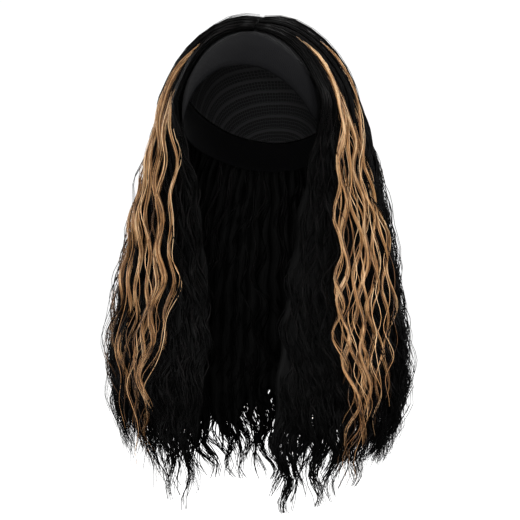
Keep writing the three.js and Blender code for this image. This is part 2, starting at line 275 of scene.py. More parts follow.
@dataclass(frozen=True)
class FibreFinish:
    """Synthetic hair fibre, drawn and crimped: satin, with each strand its own shade.

    It is glossier at the roots and duller at the tips, because its roughness rises down the hair. Its tone
    is also painted darker down the hair: painted shade towards the tips, and on the black fibre lighter
    roots that are a painted sheen over the crown. The map's u is a tone that the strands on one side of a
    lock nearly share, and v runs from the root to the tip. Patches of tone are about as wide as a lock.
    """

    name: str
    shades: Stops
    roughness: float
    tip_roughness: float
    specular: float
    painted_tip_shade: float
    patch_mm: float = 22.0
    patch_contrast: float = 0.9
    patch_level: float = -0.36
    strand_contrast: float = 0.85

    def build(self) -> bpy.types.Material:
        """Makes the material.

        Returns:
            The material.
        """
        same = {"Roughness": self.roughness, "Specular IOR Level": self.specular}
        material, tree, shader = new_material(self.name, same)
        place = add_node(tree, "ShaderNodeUVMap")
        split = add_node(tree, "ShaderNodeSeparateXYZ", links={0: place.outputs[0]})
        where = add_node(tree, "ShaderNodeTexCoord")
        patches = add_node(
            tree,
            "ShaderNodeTexNoise",
            values={"Scale": 1 / (self.patch_mm * MM), "Detail": 3.0},
            links={"Vector": where.outputs["Object"]},
        )
        sum_of = {"operation": "MULTIPLY_ADD"}
        patch = {1: self.patch_contrast, 2: self.patch_level}
        tone = add_node(tree, "ShaderNodeMath", sum_of, patch, {0: patches.outputs["Fac"]})
        # The tone is painted darker along v: painted shade towards the tips, and lighter roots, which on the
        # black fibre are a painted sheen over the crown.
        for share, axis in ((-self.painted_tip_shade, "Y"), (self.strand_contrast, "X")):
            links = {0: split.outputs[axis], 2: tone.outputs[0]}
            tone = add_node(tree, "ShaderNodeMath", sum_of, {1: share}, links)
        tone.use_clamp = True
        shade = add_node(tree, "ShaderNodeValToRGB", links={0: tone.outputs[0]}, stops=self.shades)
        connect(tree, shader, {"Base Color": shade.outputs["Color"]})
        if self.tip_roughness != self.roughness:
            rough = add_node(
                tree,
                "ShaderNodeMapRange",
                values={"To Min": self.roughness, "To Max": self.tip_roughness},
                links={"Value": split.outputs["Y"]},
            )
            connect(tree, shader, {"Roughness": rough.outputs[0]})
        return material


@dataclass(frozen=True)
class MassFinish:
    """The same fibre seen as a mass: fine streaks that run along each lock, as ridges and as shades.

    The map is in metres: u round the lock and v along it. Real fibres are 0.08 mm thick, and the streaks are
    drawn as wide as the gatherings of fibres that show.
    """

    name: str
    shades: Stops
    roughness: float
    specular: float
    streak_mm: float = 1.6
    run_mm: float = 70.0
    ridge_mm: float = 0.7

    def build(self) -> bpy.types.Material:
        """Makes the material.

        Returns:
            The material.
        """
        same = {"Roughness": self.roughness, "Specular IOR Level": self.specular}
        material, tree, shader = new_material(self.name, same)
        place = add_node(tree, "ShaderNodeUVMap")
        stretched = add_node(
            tree,
            "ShaderNodeMapping",
            values={"Scale": (1 / (self.streak_mm * MM), 1 / (self.run_mm * MM), 1.0)},
            links={"Vector": place.outputs[0]},
        )
        streaks = add_node(
            tree,
            "ShaderNodeTexNoise",
            values={"Scale": 1.0, "Detail": 4.0, "Roughness": 0.6},
            links={"Vector": stretched.outputs[0]},
        )
        shade = add_node(tree, "ShaderNodeValToRGB", links={0: streaks.outputs["Fac"]}, stops=self.shades)
        ridges = add_node(
            tree,
            "ShaderNodeBump",
            values={"Strength": 0.9, "Distance": self.ridge_mm * MM},
            links={"Height": streaks.outputs["Fac"]},
        )
        connect(tree, shader, {"Base Color": shade.outputs["Color"], "Normal": ridges.outputs[0]})
        return material


@dataclass(frozen=True)
class JerseyFinish:
    """Brushed black jersey, weft-knitted and folded double: matte and slightly puckered, with fine stitches.

    The map is in metres: u round the head and v across the band. Real stitches are 0.6 mm wide, and they are
    drawn 2.6 mm apart so that they show.
    """

    name: str
    dark: str
    light: str
    stitch_mm: float = 2.6
    stitch_depth_mm: float = 0.25
    pucker_mm: float = 26.0
    pucker_depth_mm: float = 2.5
    fluff_mm: float = 1.1
    fluff_contrast: float = 0.5

    def build(self) -> bpy.types.Material:
        """Makes the material.

        Returns:
            The material.
        """
        same = {"Roughness": 0.9, "Specular IOR Level": 0.04, "Sheen Weight": 0.02, "Sheen Roughness": 0.5}
        material, tree, shader = new_material(self.name, same)
        place = add_node(tree, "ShaderNodeUVMap")
        where = add_node(tree, "ShaderNodeTexCoord")
        waves = [
            add_node(
                tree,
                "ShaderNodeTexWave",
                {"wave_type": "BANDS", "bands_direction": direction},
                {"Scale": math.pi / 10 / (self.stitch_mm * MM), "Distortion": distortion, "Detail": detail},
                {"Vector": place.outputs[0]},
            )
            for direction, distortion, detail in (("X", 0.0, 2.0), ("DIAGONAL", 0.6, 1.0))
        ]
        knit = add_node(
            tree,
            "ShaderNodeMath",
            {"operation": "ADD"},
            links={0: waves[0].outputs["Fac"], 1: waves[1].outputs["Fac"]},
        )
        pucker, fluff = (
            add_node(
                tree,
                "ShaderNodeTexNoise",
                values={"Scale": 1 / (size * MM), "Detail": 2.0},
                links={"Vector": where.outputs["Object"]},
            )
            for size in (self.pucker_mm, self.fluff_mm)
        )
        # The tone follows the puckers, darker in their hollows: faint painted shade in the folds, with fluff
        # that varies at random.
        tone = add_node(
            tree,
            "ShaderNodeMath",
            {"operation": "MULTIPLY_ADD"},
            {1: self.fluff_contrast},
            {0: fluff.outputs["Fac"], 2: pucker.outputs["Fac"]},
        )
        shades = ((0.4, self.dark), (1.0, self.light))
        shade = add_node(tree, "ShaderNodeValToRGB", links={0: tone.outputs[0]}, stops=shades)
        folds = add_node(
            tree,
            "ShaderNodeBump",
            values={"Strength": 0.5, "Distance": self.pucker_depth_mm * MM},
            links={"Height": pucker.outputs["Fac"]},
        )
        stitches = add_node(
            tree,
            "ShaderNodeBump",
            values={"Strength": 0.35, "Distance": self.stitch_depth_mm * MM},
            links={"Height": knit.outputs[0], "Normal": folds.outputs[0]},
        )
        connect(tree, shader, {"Base Color": shade.outputs["Color"], "Normal": stitches.outputs[0]})
        return material


@dataclass(frozen=True)
class NetFinish:
    """Elastic net with rows of sewn hair tracks: matte black threads over darker holes.

    The map is in metres and lies flat over the cap: u from side to side and v from front to back.
    """

    name: str
    thread: str
    hole: str
    mesh_mm: float = 3.2
    track_mm: float = 13.0
    thread_share: float = 0.09
    track_level: float = 0.9
    depth_mm: float = 0.6

    def build(self) -> bpy.types.Material:
        """Makes the material.

        Returns:
            The material.
        """
        material, tree, shader = new_material(self.name, {"Roughness": 0.9, "Specular IOR Level": 0.2})
        place = add_node(tree, "ShaderNodeUVMap")
        cells = add_node(
            tree,
            "ShaderNodeTexVoronoi",
            {"feature": "DISTANCE_TO_EDGE"},
            {"Scale": 1 / (self.mesh_mm * MM), "Randomness": 0.25},
            {"Vector": place.outputs[0]},
        )
        tracks = add_node(
            tree,
            "ShaderNodeTexWave",
            {"wave_type": "BANDS", "bands_direction": "Y"},
            {"Scale": math.pi / 10 / (self.track_mm * MM), "Distortion": 0.4},
            {"Vector": place.outputs[0]},
        )
        threads, rows = (
            add_node(tree, "ShaderNodeMath", {"operation": operation}, {1: level}, {0: socket})
            for operation, level, socket in (
                ("LESS_THAN", self.thread_share, cells.outputs["Distance"]),
                ("GREATER_THAN", self.track_level, tracks.outputs["Fac"]),
            )
        )
        both = {0: threads.outputs[0], 1: rows.outputs[0]}
        raised = add_node(tree, "ShaderNodeMath", {"operation": "MAXIMUM"}, links=both)
        shades = ((0.0, self.hole), (1.0, self.thread))
        shade = add_node(tree, "ShaderNodeValToRGB", links={0: raised.outputs[0]}, stops=shades)
        relief = add_node(
            tree,
            "ShaderNodeBump",
            values={"Strength": 0.8, "Distance": self.depth_mm * MM},
            links={"Height": raised.outputs[0]},
        )
        connect(tree, shader, {"Base Color": shade.outputs["Color"], "Normal": relief.outputs[0]})
        return material


# Lightest at the roots, as a painted sheen over the crown, and darker towards the tips, as painted shade.
BLACK_FIBRE = FibreFinish(
    "black_crimped_fibre",
    ((0.0, "010101"), (0.45, "040404"), (1.0, "181616")),
    roughness=0.27,
    tip_roughness=0.42,
    specular=0.05,
    painted_tip_shade=0.45,
)
BLACK_MASS = MassFinish("black_hair_mass", ((0.3, "010101"), (0.7, "040404")), roughness=0.5, specular=0.04)
# Darker towards the tips: painted shade.
HONEY_FIBRE = FibreFinish(
    "honey_crimped_fibre",
    ((0.0, "3f2813"), (0.27, "845b35"), (0.58, "c0905e"), (0.9, "f0cda1")),
    roughness=0.36,
    tip_roughness=0.36,
    specular=0.36,
    painted_tip_shade=0.2,
)
# Darker than the honey strands that lie on it, so that the gaps between them show dark: painted shade between
# the strands.
SHADED_HONEY_MASS = MassFinish(
    "honey_hair_mass",
    ((0.3, "22150a"), (0.5, "664627"), (0.7, "a97e50")),
    roughness=0.45,
    specular=0.3,
)
BLACK_JERSEY = JerseyFinish("black_jersey", dark="08080a", light="0c0c0d")
BLACK_NET = NetFinish("black_elastic_net", thread="2a2a2b", hole="111112")


# Forms


@dataclass(frozen=True)
class HeadForm:
    """Egg that the wig fits, with its crown at the origin."""

    half_width: float
    half_length: float = 97.0
    crown_height: float = 92.0

    def point(self, direction: np.ndarray, lift: np.ndarray | float) -> np.ndarray:
        """Points off the head.

        Args:
            direction: Unit vectors in the head's own proportions.
            lift: Distance from the head, one for each vector or one for all.

        Returns:
            The points.
        """
        axes = np.array([self.half_width, self.half_length, self.crown_height])
        foot = direction * axes - [0.0, 0.0, self.crown_height]
        return foot + unit(direction / axes) * np.asarray(lift, float)[..., None]


@dataclass(frozen=True)
class HangRow:
    """Plan of the hanging hair at one drop, as shares of the hair's own sizes."""

    drop: float
    width: float
    edge_x: float
    edge_y: float
    back: float


HANG = (
    HangRow(0.265, 0.735, 0.41, 0.43, 0.955),
    HangRow(0.37, 0.825, 0.335, 0.44, 0.96),
    HangRow(0.495, 0.915, 0.28, 0.46, 0.97),
    HangRow(0.61, 0.965, 0.25, 0.59, 0.985),
    HangRow(0.735, 1.0, 0.24, 0.84, 1.0),
    HangRow(0.857, 0.98, 0.24, 1.0, 0.985),
    HangRow(1.0, 0.86, 0.26, 1.0, 0.93),
)


@dataclass
class HairForm:
    """The hair's outer and inner surfaces, read at a place round the head and a row down the hair.

    Rows 0 to 6 run over the crown from the parting, and each further one is a row of HANG. Behind its thin
    front edge the hair grows to its full depth over full_behind, in places. The tips are shorter at the
    sides, by side_tip_rise round side_tip_place.
    """

    head: HeadForm
    drop: float
    half_width: float
    front_reach: float
    back_reach: float
    widest_behind: float = 12.0
    left_share: float = 0.945
    right_share: float = 0.995
    share_drops: Span = (0.2, 0.5)
    top_lift: float = 11.4
    side_lift: float = 31.0
    thickness: float = 20.0
    edge_thickness: float = 6.0
    seat: float = 3.1
    side_tip_rise: float = 44.0
    side_tip_place: float = 0.42
    side_tip_spread: float = 0.22
    parting_offset: float = 7.0
    parting_gap: float = 0.7
    parting_lean: float = 2.0
    root_front: float = -0.5
    root_back: float = 0.2
    root_fullness: float = 0.6
    root_share: float = 0.15
    edge_fullness: Span = (0.4, 0.12)
    straight_behind: float = 0.5
    crown_rows: int = 7
    crown_end: float = 0.9
    full_behind: float = 0.22
    pole_level: float = 0.999
    places: int = 401
    rows_each: int = 20
    last_row: float = field(init=False)

    def __post_init__(self) -> None:
        """Works out the surfaces once, as tables over places and rows."""
        self.last_row = float(self.crown_rows + len(HANG) - 1)
        place = np.linspace(-1.0, 1.0, self.places)
        row = np.linspace(0.0, self.last_row, int(self.last_row) * self.rows_each + 1)
        crown = self.over_crown(place)
        hung = [self.hanging(place, plan) for plan in HANG]
        self.outer, self.inner = (
            self.spline(np.concatenate([crown[k], np.stack([h[k] for h in hung], axis=1)], axis=1), row)
            for k in (0, 1)
        )
        self.outward = unit(self.outer - self.inner)
        along = unit(np.gradient(self.outer, axis=1))
        across = unit(np.gradient(self.outer, axis=0))
        self.across = unit(across - along * np.sum(across * along, axis=-1, keepdims=True))
        steps = np.linalg.norm(np.diff(self.outer, axis=1), axis=-1)
        self.fall = np.concatenate([np.zeros((self.places, 1)), np.cumsum(steps, axis=1)], axis=1)[..., None]

    def over_crown(self, place: np.ndarray) -> tuple[np.ndarray, np.ndarray]:
        """Guide points over the crown, from the parting to the side of the head.

        Args:
            place: Places to work out.

        Returns:
            Outer and inner points, by place and row.
        """
        head = self.head
        side = np.where(place < 0, -1.0, 1.0)[:, None]
        from_front = (1.0 - np.abs(place))[:, None]
        share = np.linspace(0.0, self.crown_end, self.crown_rows)[None, :]
        root_y = lerp(self.root_front, self.root_back, from_front)
        root_turn = (self.parting_offset + side * self.parting_gap / 2) / head.half_width
        hung = self.hanging(place, HANG[0])[0]
        flat = np.stack([hung[:, 0] / head.half_width, hung[:, 1] / head.half_length, 0 * place], axis=-1)
        end = unit(flat)[:, None, :]
        y = lerp(root_y, end[..., 1], ease(share, 0, 1))
        turn = lerp(root_turn, side * math.pi / 2, share)
        ring = np.sqrt(1 - y * y)
        sideways = np.stack([ring * np.sin(turn), y, ring * np.cos(turn)], axis=-1)
        root_ring = np.sqrt(1 - root_y * root_y)
        root = np.stack([root_ring * np.sin(root_turn), root_y, root_ring * np.cos(root_turn)], axis=-1)
        arc = np.arccos(np.sum(root * end, axis=-1))
        near = (np.sin((1 - share) * arc) / np.sin(arc))[..., None]
        far = (np.sin(share * arc) / np.sin(arc))[..., None]
        straight = ease(from_front, 0, self.straight_behind)[..., None]
        direction = unit(lerp(sideways, root * near + end * far, straight))
        fullness = lerp(lerp(*self.edge_fullness, share), 1.0, ease(from_front, 0, self.full_behind))
        fullness = fullness * lerp(self.root_fullness, 1.0, ease(share, 0, self.root_share))
        lean = np.sign(place)[:, None] * self.parting_lean * np.sin(math.pi * share)
        lift = lerp(self.top_lift, self.side_lift, share**2) + lean
        inner = np.maximum(self.seat, lift - self.thickness)
        outer = np.maximum(inner + self.edge_thickness, lerp(inner, lift, fullness))
        return head.point(direction, outer), head.point(direction, inner)

    def hanging(self, place: np.ndarray, row: HangRow) -> tuple[np.ndarray, np.ndarray]:
        """Guide points of the hanging hair at one row of its plan, kept clear of the head.

        Args:
            place: Places to work out.
            row: The row's plan.

        Returns:
            Outer and inner points, by place.
        """
        side = np.where(place < 0, -1.0, 1.0)
        from_front = 1.0 - np.abs(place)
        width = row.width * self.half_width
        start = math.asin(row.edge_x * self.half_width / width)
        azimuth = lerp(start, math.pi, from_front)
        front = (row.edge_y * self.front_reach + self.widest_behind) / math.cos(start)
        reach = np.where(azimuth < math.pi / 2, front, row.back * self.back_reach - self.widest_behind)
        shortness = np.exp(-(((from_front - self.side_tip_place) / self.side_tip_spread) ** 2))
        z = self.side_tip_rise * shortness * ease(row.drop, HANG[2].drop, 1) - row.drop * self.drop
        y = self.widest_behind - reach * np.cos(azimuth)
        side_share = np.where(side > 0, self.left_share, self.right_share)
        x = side * lerp(1.0, side_share, ease(row.drop, *self.share_drops)) * width * np.sin(azimuth)
        outer = np.stack([x, y, z], axis=-1)
        slope = [side * np.sin(azimuth) / width, -np.cos(azimuth) / reach, 0 * place]
        outward = unit(np.stack(slope, axis=-1))
        depth = lerp(self.edge_thickness, self.thickness, ease(from_front, 0, self.full_behind))
        inner = outer - outward * depth[:, None]

        wide, long = self.head.half_width + self.seat, self.head.half_length + self.seat
        level = (z + self.head.crown_height) / (self.head.crown_height + self.seat)
        level = np.clip(level, -self.pole_level, self.pole_level)
        room = np.hypot(inner[:, 0] / wide, inner[:, 1] / long) / np.sqrt(1 - level * level)
        tight = (np.abs(level) < self.pole_level) & (room < 1)
        inner[tight, :2] /= room[tight, None]
        least = inner + outward * self.edge_thickness
        short = tight & (np.sum((least - outer) * outward, axis=-1) > 0)
        outer[short] = least[short]
        return outer, inner

    @staticmethod
    def spline(points: np.ndarray, row: np.ndarray) -> np.ndarray:
        """Smooth curves through guide points.

        Args:
            points: Guide points, by place and by whole row.
            row: Rows to read.

        Returns:
            Points by place and by row read.
        """
        first = 2 * points[:, :1] - points[:, 1:2]
        last = 2 * points[:, -1:] - points[:, -2:-1]
        padded = np.concatenate([first, points, last], axis=1)
        at = np.clip(np.floor(row).astype(int), 0, points.shape[1] - 2)
        share = (row - at)[None, :, None]
        p0, p1, p2, p3 = (padded[:, at + k] for k in range(4))
        pairs = ((p0, p1), (p1, p2), (p2, p3))
        g0, g1, g2 = (np.sqrt(np.linalg.norm(b - a, axis=-1, keepdims=True)) for a, b in pairs)
        rise = (p1 - p0) / g0 - (p2 - p0) / (g0 + g1) + (p2 - p1) / g1
        land = (p2 - p1) / g1 - (p3 - p1) / (g1 + g2) + (p3 - p2) / g2
        return hermite(p1, p2, rise * g1, land * g1, share)

    def read(self, table: np.ndarray, place: np.ndarray, row: np.ndarray) -> np.ndarray:
        """Reads one of the tables between its entries.

        Args:
            table: Table by place and row.
            place: Places, from -1 to 1.
            row: Rows, of the same shape.

        Returns:
            Values, with the table's own last axis.
        """
        a = (np.clip(place, -1.0, 1.0) + 1.0) / 2.0 * (table.shape[0] - 1)
        b = np.clip(row, 0.0, self.last_row) * self.rows_each
        i = np.minimum(a.astype(int), table.shape[0] - 2)
        j = np.minimum(b.astype(int), table.shape[1] - 2)
        s, t = (a - i)[..., None], (b - j)[..., None]
        near = table[i, j] * (1 - t) + table[i, j + 1] * t
        far = table[i + 1, j] * (1 - t) + table[i + 1, j + 1] * t
        return near * (1 - s) + far * s


# Locks and strands


# Rows at which the course of a lock is given.
WAY_ROWS = (3.0, 6.0, 7.0, 8.5, 10.0, 12.0)


def course(places: np.ndarray, rows: np.ndarray) -> np.ndarray:
    """Eases courses between their places.

    Args:
        places: Places of each course at WAY_ROWS.
        rows: Rows to read along each course.

    Returns:
        A place for each row read.
    """
    keys = np.array(WAY_ROWS)
    clipped = np.clip(rows, keys[0], keys[-1])
    at = np.clip(np.searchsorted(keys, clipped, side="right") - 1, 0, len(keys) - 2)
    share = (clipped - keys[at]) / (keys[at + 1] - keys[at])
    low, high = (np.take_along_axis(places, k, axis=1) for k in (at, at + 1))
    return lerp(low, high, ease(share, 0, 1))


@dataclass(frozen=True)
class Way:
    """Course of one highlight lock: how far it lies from the front edge at each of WAY_ROWS, in places.

    It comes out from under the top hair at its start row and thins out by its end row. Size is its share of a
    full lock's width.
    """

    start: float
    temple: float
    ear: float
    jaw: float
    shoulder: float
    chest: float
    tip: float
    end: float
    size: float

    def places(self) -> list[float]:
        """Distances from the front edge at WAY_ROWS."""
        return [self.temple, self.ear, self.jaw, self.shoulder, self.chest, self.tip]


# The highlights on the wearer's left, and then those on the right.
LEFT_WAYS = (
    Way(2.6, 0.300, 0.260, 0.215, 0.250, 0.270, 0.260, 11.5, 0.42),
    Way(2.4, 0.120, 0.095, 0.125, 0.145, 0.160, 0.190, 12.3, 1.20),
    Way(5.2, 0.130, 0.115, 0.190, 0.225, 0.215, 0.225, 12.2, 1.15),
    Way(5.2, 0.100, 0.105, 0.115, 0.120, 0.145, 0.170, 11.0, 0.60),
    Way(6.2, 0.130, 0.130, 0.155, 0.190, 0.190, 0.215, 11.4, 0.80),
    Way(6.5, 0.200, 0.200, 0.220, 0.265, 0.250, 0.255, 11.2, 0.60),
    Way(6.3, 0.240, 0.240, 0.250, 0.305, 0.310, 0.290, 11.6, 0.50),
    Way(7.2, 0.270, 0.270, 0.270, 0.345, 0.350, 0.310, 11.0, 0.40),
    Way(7.9, 0.200, 0.200, 0.200, 0.205, 0.230, 0.210, 11.8, 0.50),
)
RIGHT_WAYS = (
    Way(3.0, 0.120, 0.140, 0.160, 0.130, 0.150, 0.150, 12.0, 1.15),
    Way(5.2, 0.160, 0.160, 0.200, 0.190, 0.175, 0.180, 11.9, 0.85),
    Way(5.0, 0.110, 0.085, 0.055, 0.090, 0.110, 0.130, 10.9, 0.75),
    Way(5.4, 0.190, 0.190, 0.240, 0.240, 0.220, 0.200, 11.0, 0.75),
    Way(5.8, 0.110, 0.110, 0.110, 0.145, 0.170, 0.160, 11.3, 0.70),
    Way(6.1, 0.230, 0.230, 0.285, 0.290, 0.265, 0.225, 11.5, 0.70),
    Way(6.9, 0.290, 0.290, 0.320, 0.345, 0.315, 0.240, 11.0, 0.62),
    Way(7.8, 0.370, 0.370, 0.370, 0.390, 0.365, 0.260, 10.6, 0.60),
)


@dataclass(frozen=True)
class Fall:
    """How a set of locks falls. Widths, depths, heights and lengths are millimetres.

    Neighbouring locks wave against each other, so that they cross and leave pointed gaps between them.

    Attributes:
        strands: Strands in a full lock.
        width: Thickness of a strand.
        depth: How far below the hair's surface a lock's middle lies.
        half_depth: Half the depth of a lock.
        steps: Points along each strand.
        start: Row that a lock starts at, where its way doesn't say.
        end: Row that it ends at, where its way doesn't say.
        wave_height: Height of its waves.
        wave_length: Length of one of them.
        disorder: Most that its waves are out of turn with its neighbours', in radians.
        bundle: Its width where it hangs free, as a share of the full one.
        fan: Its width over the crown, as a share of the full one.
        narrowing: Share of its width that it keeps below the shoulder.
        fine_height: Height of the strands' own crimp.
        loose_share: Share of the strands that stand off it.
        waywardness: How much of their own course the strands keep, from 0 to 1.
        raggedness: Most rows by which a strand ends before it.
        recess: How much deeper it lies where it hangs free.
        sink: How much deeper it lies under a highlight.
        gather: Share of the way that its tip is drawn to the middle of its clump.
        core: Radius of its body, in half widths.
        cling: Distance of its strands from its middle, in half widths.
        stray: How far it lifts off the hair.
        from_inside: Whether it lies on the hair's inner surface.
    """

    strands: int
    width: Span
    depth: Span
    half_depth: float
    steps: int
    start: Span = (0.0, 0.0)
    end: Span = (0.0, 0.0)
    wave_height: Span = (3.4, 5.4)
    wave_length: Span = (55.5, 59.5)
    disorder: float = 1.0
    bundle: float = 0.62
    fan: float = 1.25
    narrowing: float = 1.0
    fine_height: float = 0.8
    loose_share: float = 0.12
    waywardness: float = 1.0
    raggedness: float = 0.6
    recess: float = 5.0
    sink: float = 3.6
    gather: float = 0.68
    core: float = 0.82
    cling: Span = (0.6, 1.12)
    stray: float = 0.0
    from_inside: bool = False


@dataclass
class Locks:
    """A set of locks, with one row of each array for each of them."""

    fall: Fall
    ways: np.ndarray
    half_width: np.ndarray
    start: np.ndarray
    end: np.ndarray
    height: np.ndarray
    length: np.ndarray
    phase: np.ndarray
    lead: np.ndarray
    depth: np.ndarray
    pulse: np.ndarray
    pulse_phase: np.ndarray
    meander_phase: np.ndarray

    def middle(self, of: np.ndarray, rows: np.ndarray) -> np.ndarray:
        """Places of the middles of the locks that lines follow, at the rows of the lines' points."""
        return course(self.ways[of], rows)


@dataclass
class Lines:
    """Lines down the hair: their points, the way out of the hair, and the lengths from and to their ends."""

    points: np.ndarray
    outward: np.ndarray
    covered: np.ndarray
    left: np.ndarray


@dataclass
class Groomer:
    """Lays locks on the hair form and grows strands in them. Its random numbers come from one seed.

    A pair of rows or lengths is where a change starts and where it is complete. Rows are counted down the
    hair form, and lengths are measured down the hair from the parting, from the root or to the tip. Hair
    waves freely from the temples down. Its tips are drawn together into clumps, so many on each half of the
    hair, and each clump waves in step and ends at its own row.
    """

    form: HairForm
    seed: int

    # How close a line's points lie, where highlights are bedded and how the tips clump
    crown_cost: float = 1.5
    hang_cost: float = 8.0
    bed_width: float = 0.021
    bed_opening: Span = (-0.3, 0.5)
    bed_closing: Span = (-1.5, -0.4)
    bed_rows: Span = (4.0, 7.0)
    bed_crown_share: float = 0.5
    clumps: int = 48
    clump_length: float = 57.5
    clump_turn: float = 46.0
    clump_reach: float = 0.22
    gather_rows: Span = (10.8, 12.6)

    # How locks wave, spread and lie in the hair, from their roots to their tips
    wave_free: Span = (85.0, 215.0)
    wave_grown: Span = (220.0, 400.0)
    wave_grown_from: float = 0.65
    wave_depth: float = 0.6
    wave_lead: Span = (1.0, 2.1)
    pulse_length: Span = (70.0, 110.0)
    pulse_share: float = 0.3
    meander_height: float = 3.2
    meander_length: float = 170.0
    meander_turn: float = 9.0
    meander_scatter: float = 0.5
    narrow_rows: Span = (8.0, 10.5)
    pinch_share: float = 0.25
    pinch_length: float = 80.0
    edge_depth_share: float = 0.4
    edge_recess_share: float = 0.15
    recess_rows: Span = (5.2, 9.4)
    tip_rise: float = 0.6
    tip_rise_rows: Span = (11.2, 12.6)
    parting_root_depth: float = 1.5
    lower_root_depth: float = 4.8
    root_depth_length: float = 45.0

    # How far each strand goes its own way: its wave, its crimp, its loose tip and its straying
    own_length: float = 0.012
    own_turn: float = 0.4
    own_height: float = 0.2
    crimp_share: float = 0.66
    crimp_turn: float = 5.0
    crimp_scatter: float = 1.1
    crimp_growth: float = 1.2
    crimp_growth_left: Span = (20.0, 130.0)
    loose_length: float = 110.0
    loose_power: float = 1.5
    loose_aside: float = 3.0
    loose_depth: Span = (-2.5, 5.0)
    stray_of_lock: Span = (0.2, 1.0)
    stray_of_strand: Span = (0.7, 1.3)
    stray_aside: float = 0.45
    stray_aside_covered: Span = (20.0, 160.0)
    stray_covered: Span = (15.0, 120.0)
    stray_meander: float = 0.35

    # Strands: their ends, their sides of the lock, their thickness, their section and their tone
    root_scatter: Span = (-0.3, 0.5)
    end_scatter: Span = (0.0, 0.2)
    strand_sides: Span = (-0.35 * math.pi, 1.35 * math.pi)
    loose_radius: Span = (1.2, 2.0)
    root_thin_share: float = 0.4
    root_thin_length: float = 40.0
    tip_thin_share: float = 0.4
    tip_thin_length: float = 55.0
    tip_thin_scatter: Span = (0.7, 1.6)
    section: tuple[Span, ...] = ((-1.0, -0.3), (1.0, -0.3), (0.0, 0.6))
    tone_gatherings: int = 3
    tone_of_lock: float = 0.38
    tone_of_strand: float = 0.22
    tone_margin: float = 0.02

    # Bodies of locks: how they end and how far their maps lie apart
    body_short_rows: float = 0.8
    body_tip_share: float = 0.08
    body_tip_length: float = 150.0
    body_root_share: float = 0.1
    body_root_length: float = 60.0
    body_map_step: float = 3.7

    def __post_init__(self) -> None:
        """Starts the random numbers and works out the highlights' beds and how low each clump ends."""
        self.rng = np.random.default_rng(self.seed)
        self.bed = self.beds()
        reach = (-self.clump_reach, self.clump_reach)
        self.reach = np.random.default_rng(self.seed + 1).uniform(*reach, 2 * self.clumps)

    def clump(self, places: np.ndarray) -> tuple[np.ndarray, np.ndarray]:
        """Clumps that hair gathers into at its tips.

        Args:
            places: Places of the hair.

        Returns:
            The middle of each place's clump, and how many rows lower than the others it ends.
        """
        index = np.clip(np.floor((places + 1) * self.clumps), 0, 2 * self.clumps - 1).astype(int)
        return (index + 0.5) / self.clumps - 1, self.reach[index]

    def beds(self) -> np.ndarray:
        """Works out where the dark hair lies deeper to bed the highlights.

        Returns:
            Share of a highlight that lies over each place and row, as a table like the form's.
        """
        place = np.linspace(-1.0, 1.0, self.form.outer.shape[0])[:, None]
        row = np.linspace(0.0, self.form.last_row, self.form.outer.shape[1])[None, :]
        bed = np.zeros(self.form.outer.shape[:2])
        for side, ways in ((1, LEFT_WAYS), (-1, RIGHT_WAYS)):
            for way in ways:
                middle = side * (1 - course(np.array([way.places()]), row))
                over = np.exp(-(((place - middle) / (self.bed_width * way.size)) ** 2))
                opened = ease(row - way.start, *self.bed_opening)
                shown = opened * (1 - ease(row - way.end, *self.bed_closing))
                deep = lerp(self.bed_crown_share, 1.0, ease(row, *self.bed_rows))
                bed = np.maximum(bed, over * shown * deep)
        return bed[..., None]

    def between(self, span: Span, count: int) -> np.ndarray:
        """Even random numbers in a span, as a column."""
        return self.rng.uniform(span[0], span[1], (count, 1))

    def about(self, reach: float, count: int) -> np.ndarray:
        """Even random numbers up to a reach on either side of 0, as a column."""
        return self.between((-reach, reach), count)

    def cost(self, row: np.ndarray) -> np.ndarray:
        """Points that the rows down to a row take, as more of them go where the hair waves."""
        bend = self.form.crown_rows - 1.0
        return self.crown_cost * np.minimum(row, bend) + self.hang_cost * np.maximum(row - bend, 0)

    def rows(self, start: np.ndarray, end: np.ndarray, steps: int) -> np.ndarray:
        """Spaces points down lines, about five times as close where the hair waves as over the crown.

        Args:
            start: Row that each line starts at.
            end: Row that it ends at.
            steps: Points in each line.

        Returns:
            Rows of each line's points.
        """
        bend = self.form.crown_rows - 1.0
        crown = self.crown_cost * bend
        cost = lerp(self.cost(start), self.cost(end), np.linspace(0, 1, steps)[None, :])
        return np.where(cost < crown, cost / self.crown_cost, bend + (cost - crown) / self.hang_cost)

    def lay(
        self, ways: np.ndarray, half_width: np.ndarray | float, fall: Fall, ends: np.ndarray | None = None
    ) -> Locks:
        """Lays locks side by side.

        Args:
            ways: Places of each lock's middle at WAY_ROWS.
            half_width: Half width of a full lock, in places.
            fall: How they fall.
            ends: Start and end row of each lock, or none to draw them from the fall.

        Returns:
            The locks.
        """
        count = len(ways)
        start = self.between(fall.start, count) if ends is None else ends[:, :1]
        end = self.between(fall.end, count) if ends is None else ends[:, 1:]
        return Locks(
            fall=fall,
            ways=ways,
            half_width=np.broadcast_to(half_width, (count, 1)),
            start=start,
            end=end,
            height=self.between(fall.wave_height, count),
            length=self.between(fall.wave_length, count),
            phase=math.pi * np.arange(count)[:, None] + self.about(fall.disorder, count),
            lead=self.between(self.wave_lead, count),
            depth=self.between(fall.depth, count),
            pulse=self.between(self.pulse_length, count),
            pulse_phase=self.between((0, TURN), count),
            meander_phase=self.meander_turn * ways[:, -1:] + self.about(self.meander_scatter, count),
        )

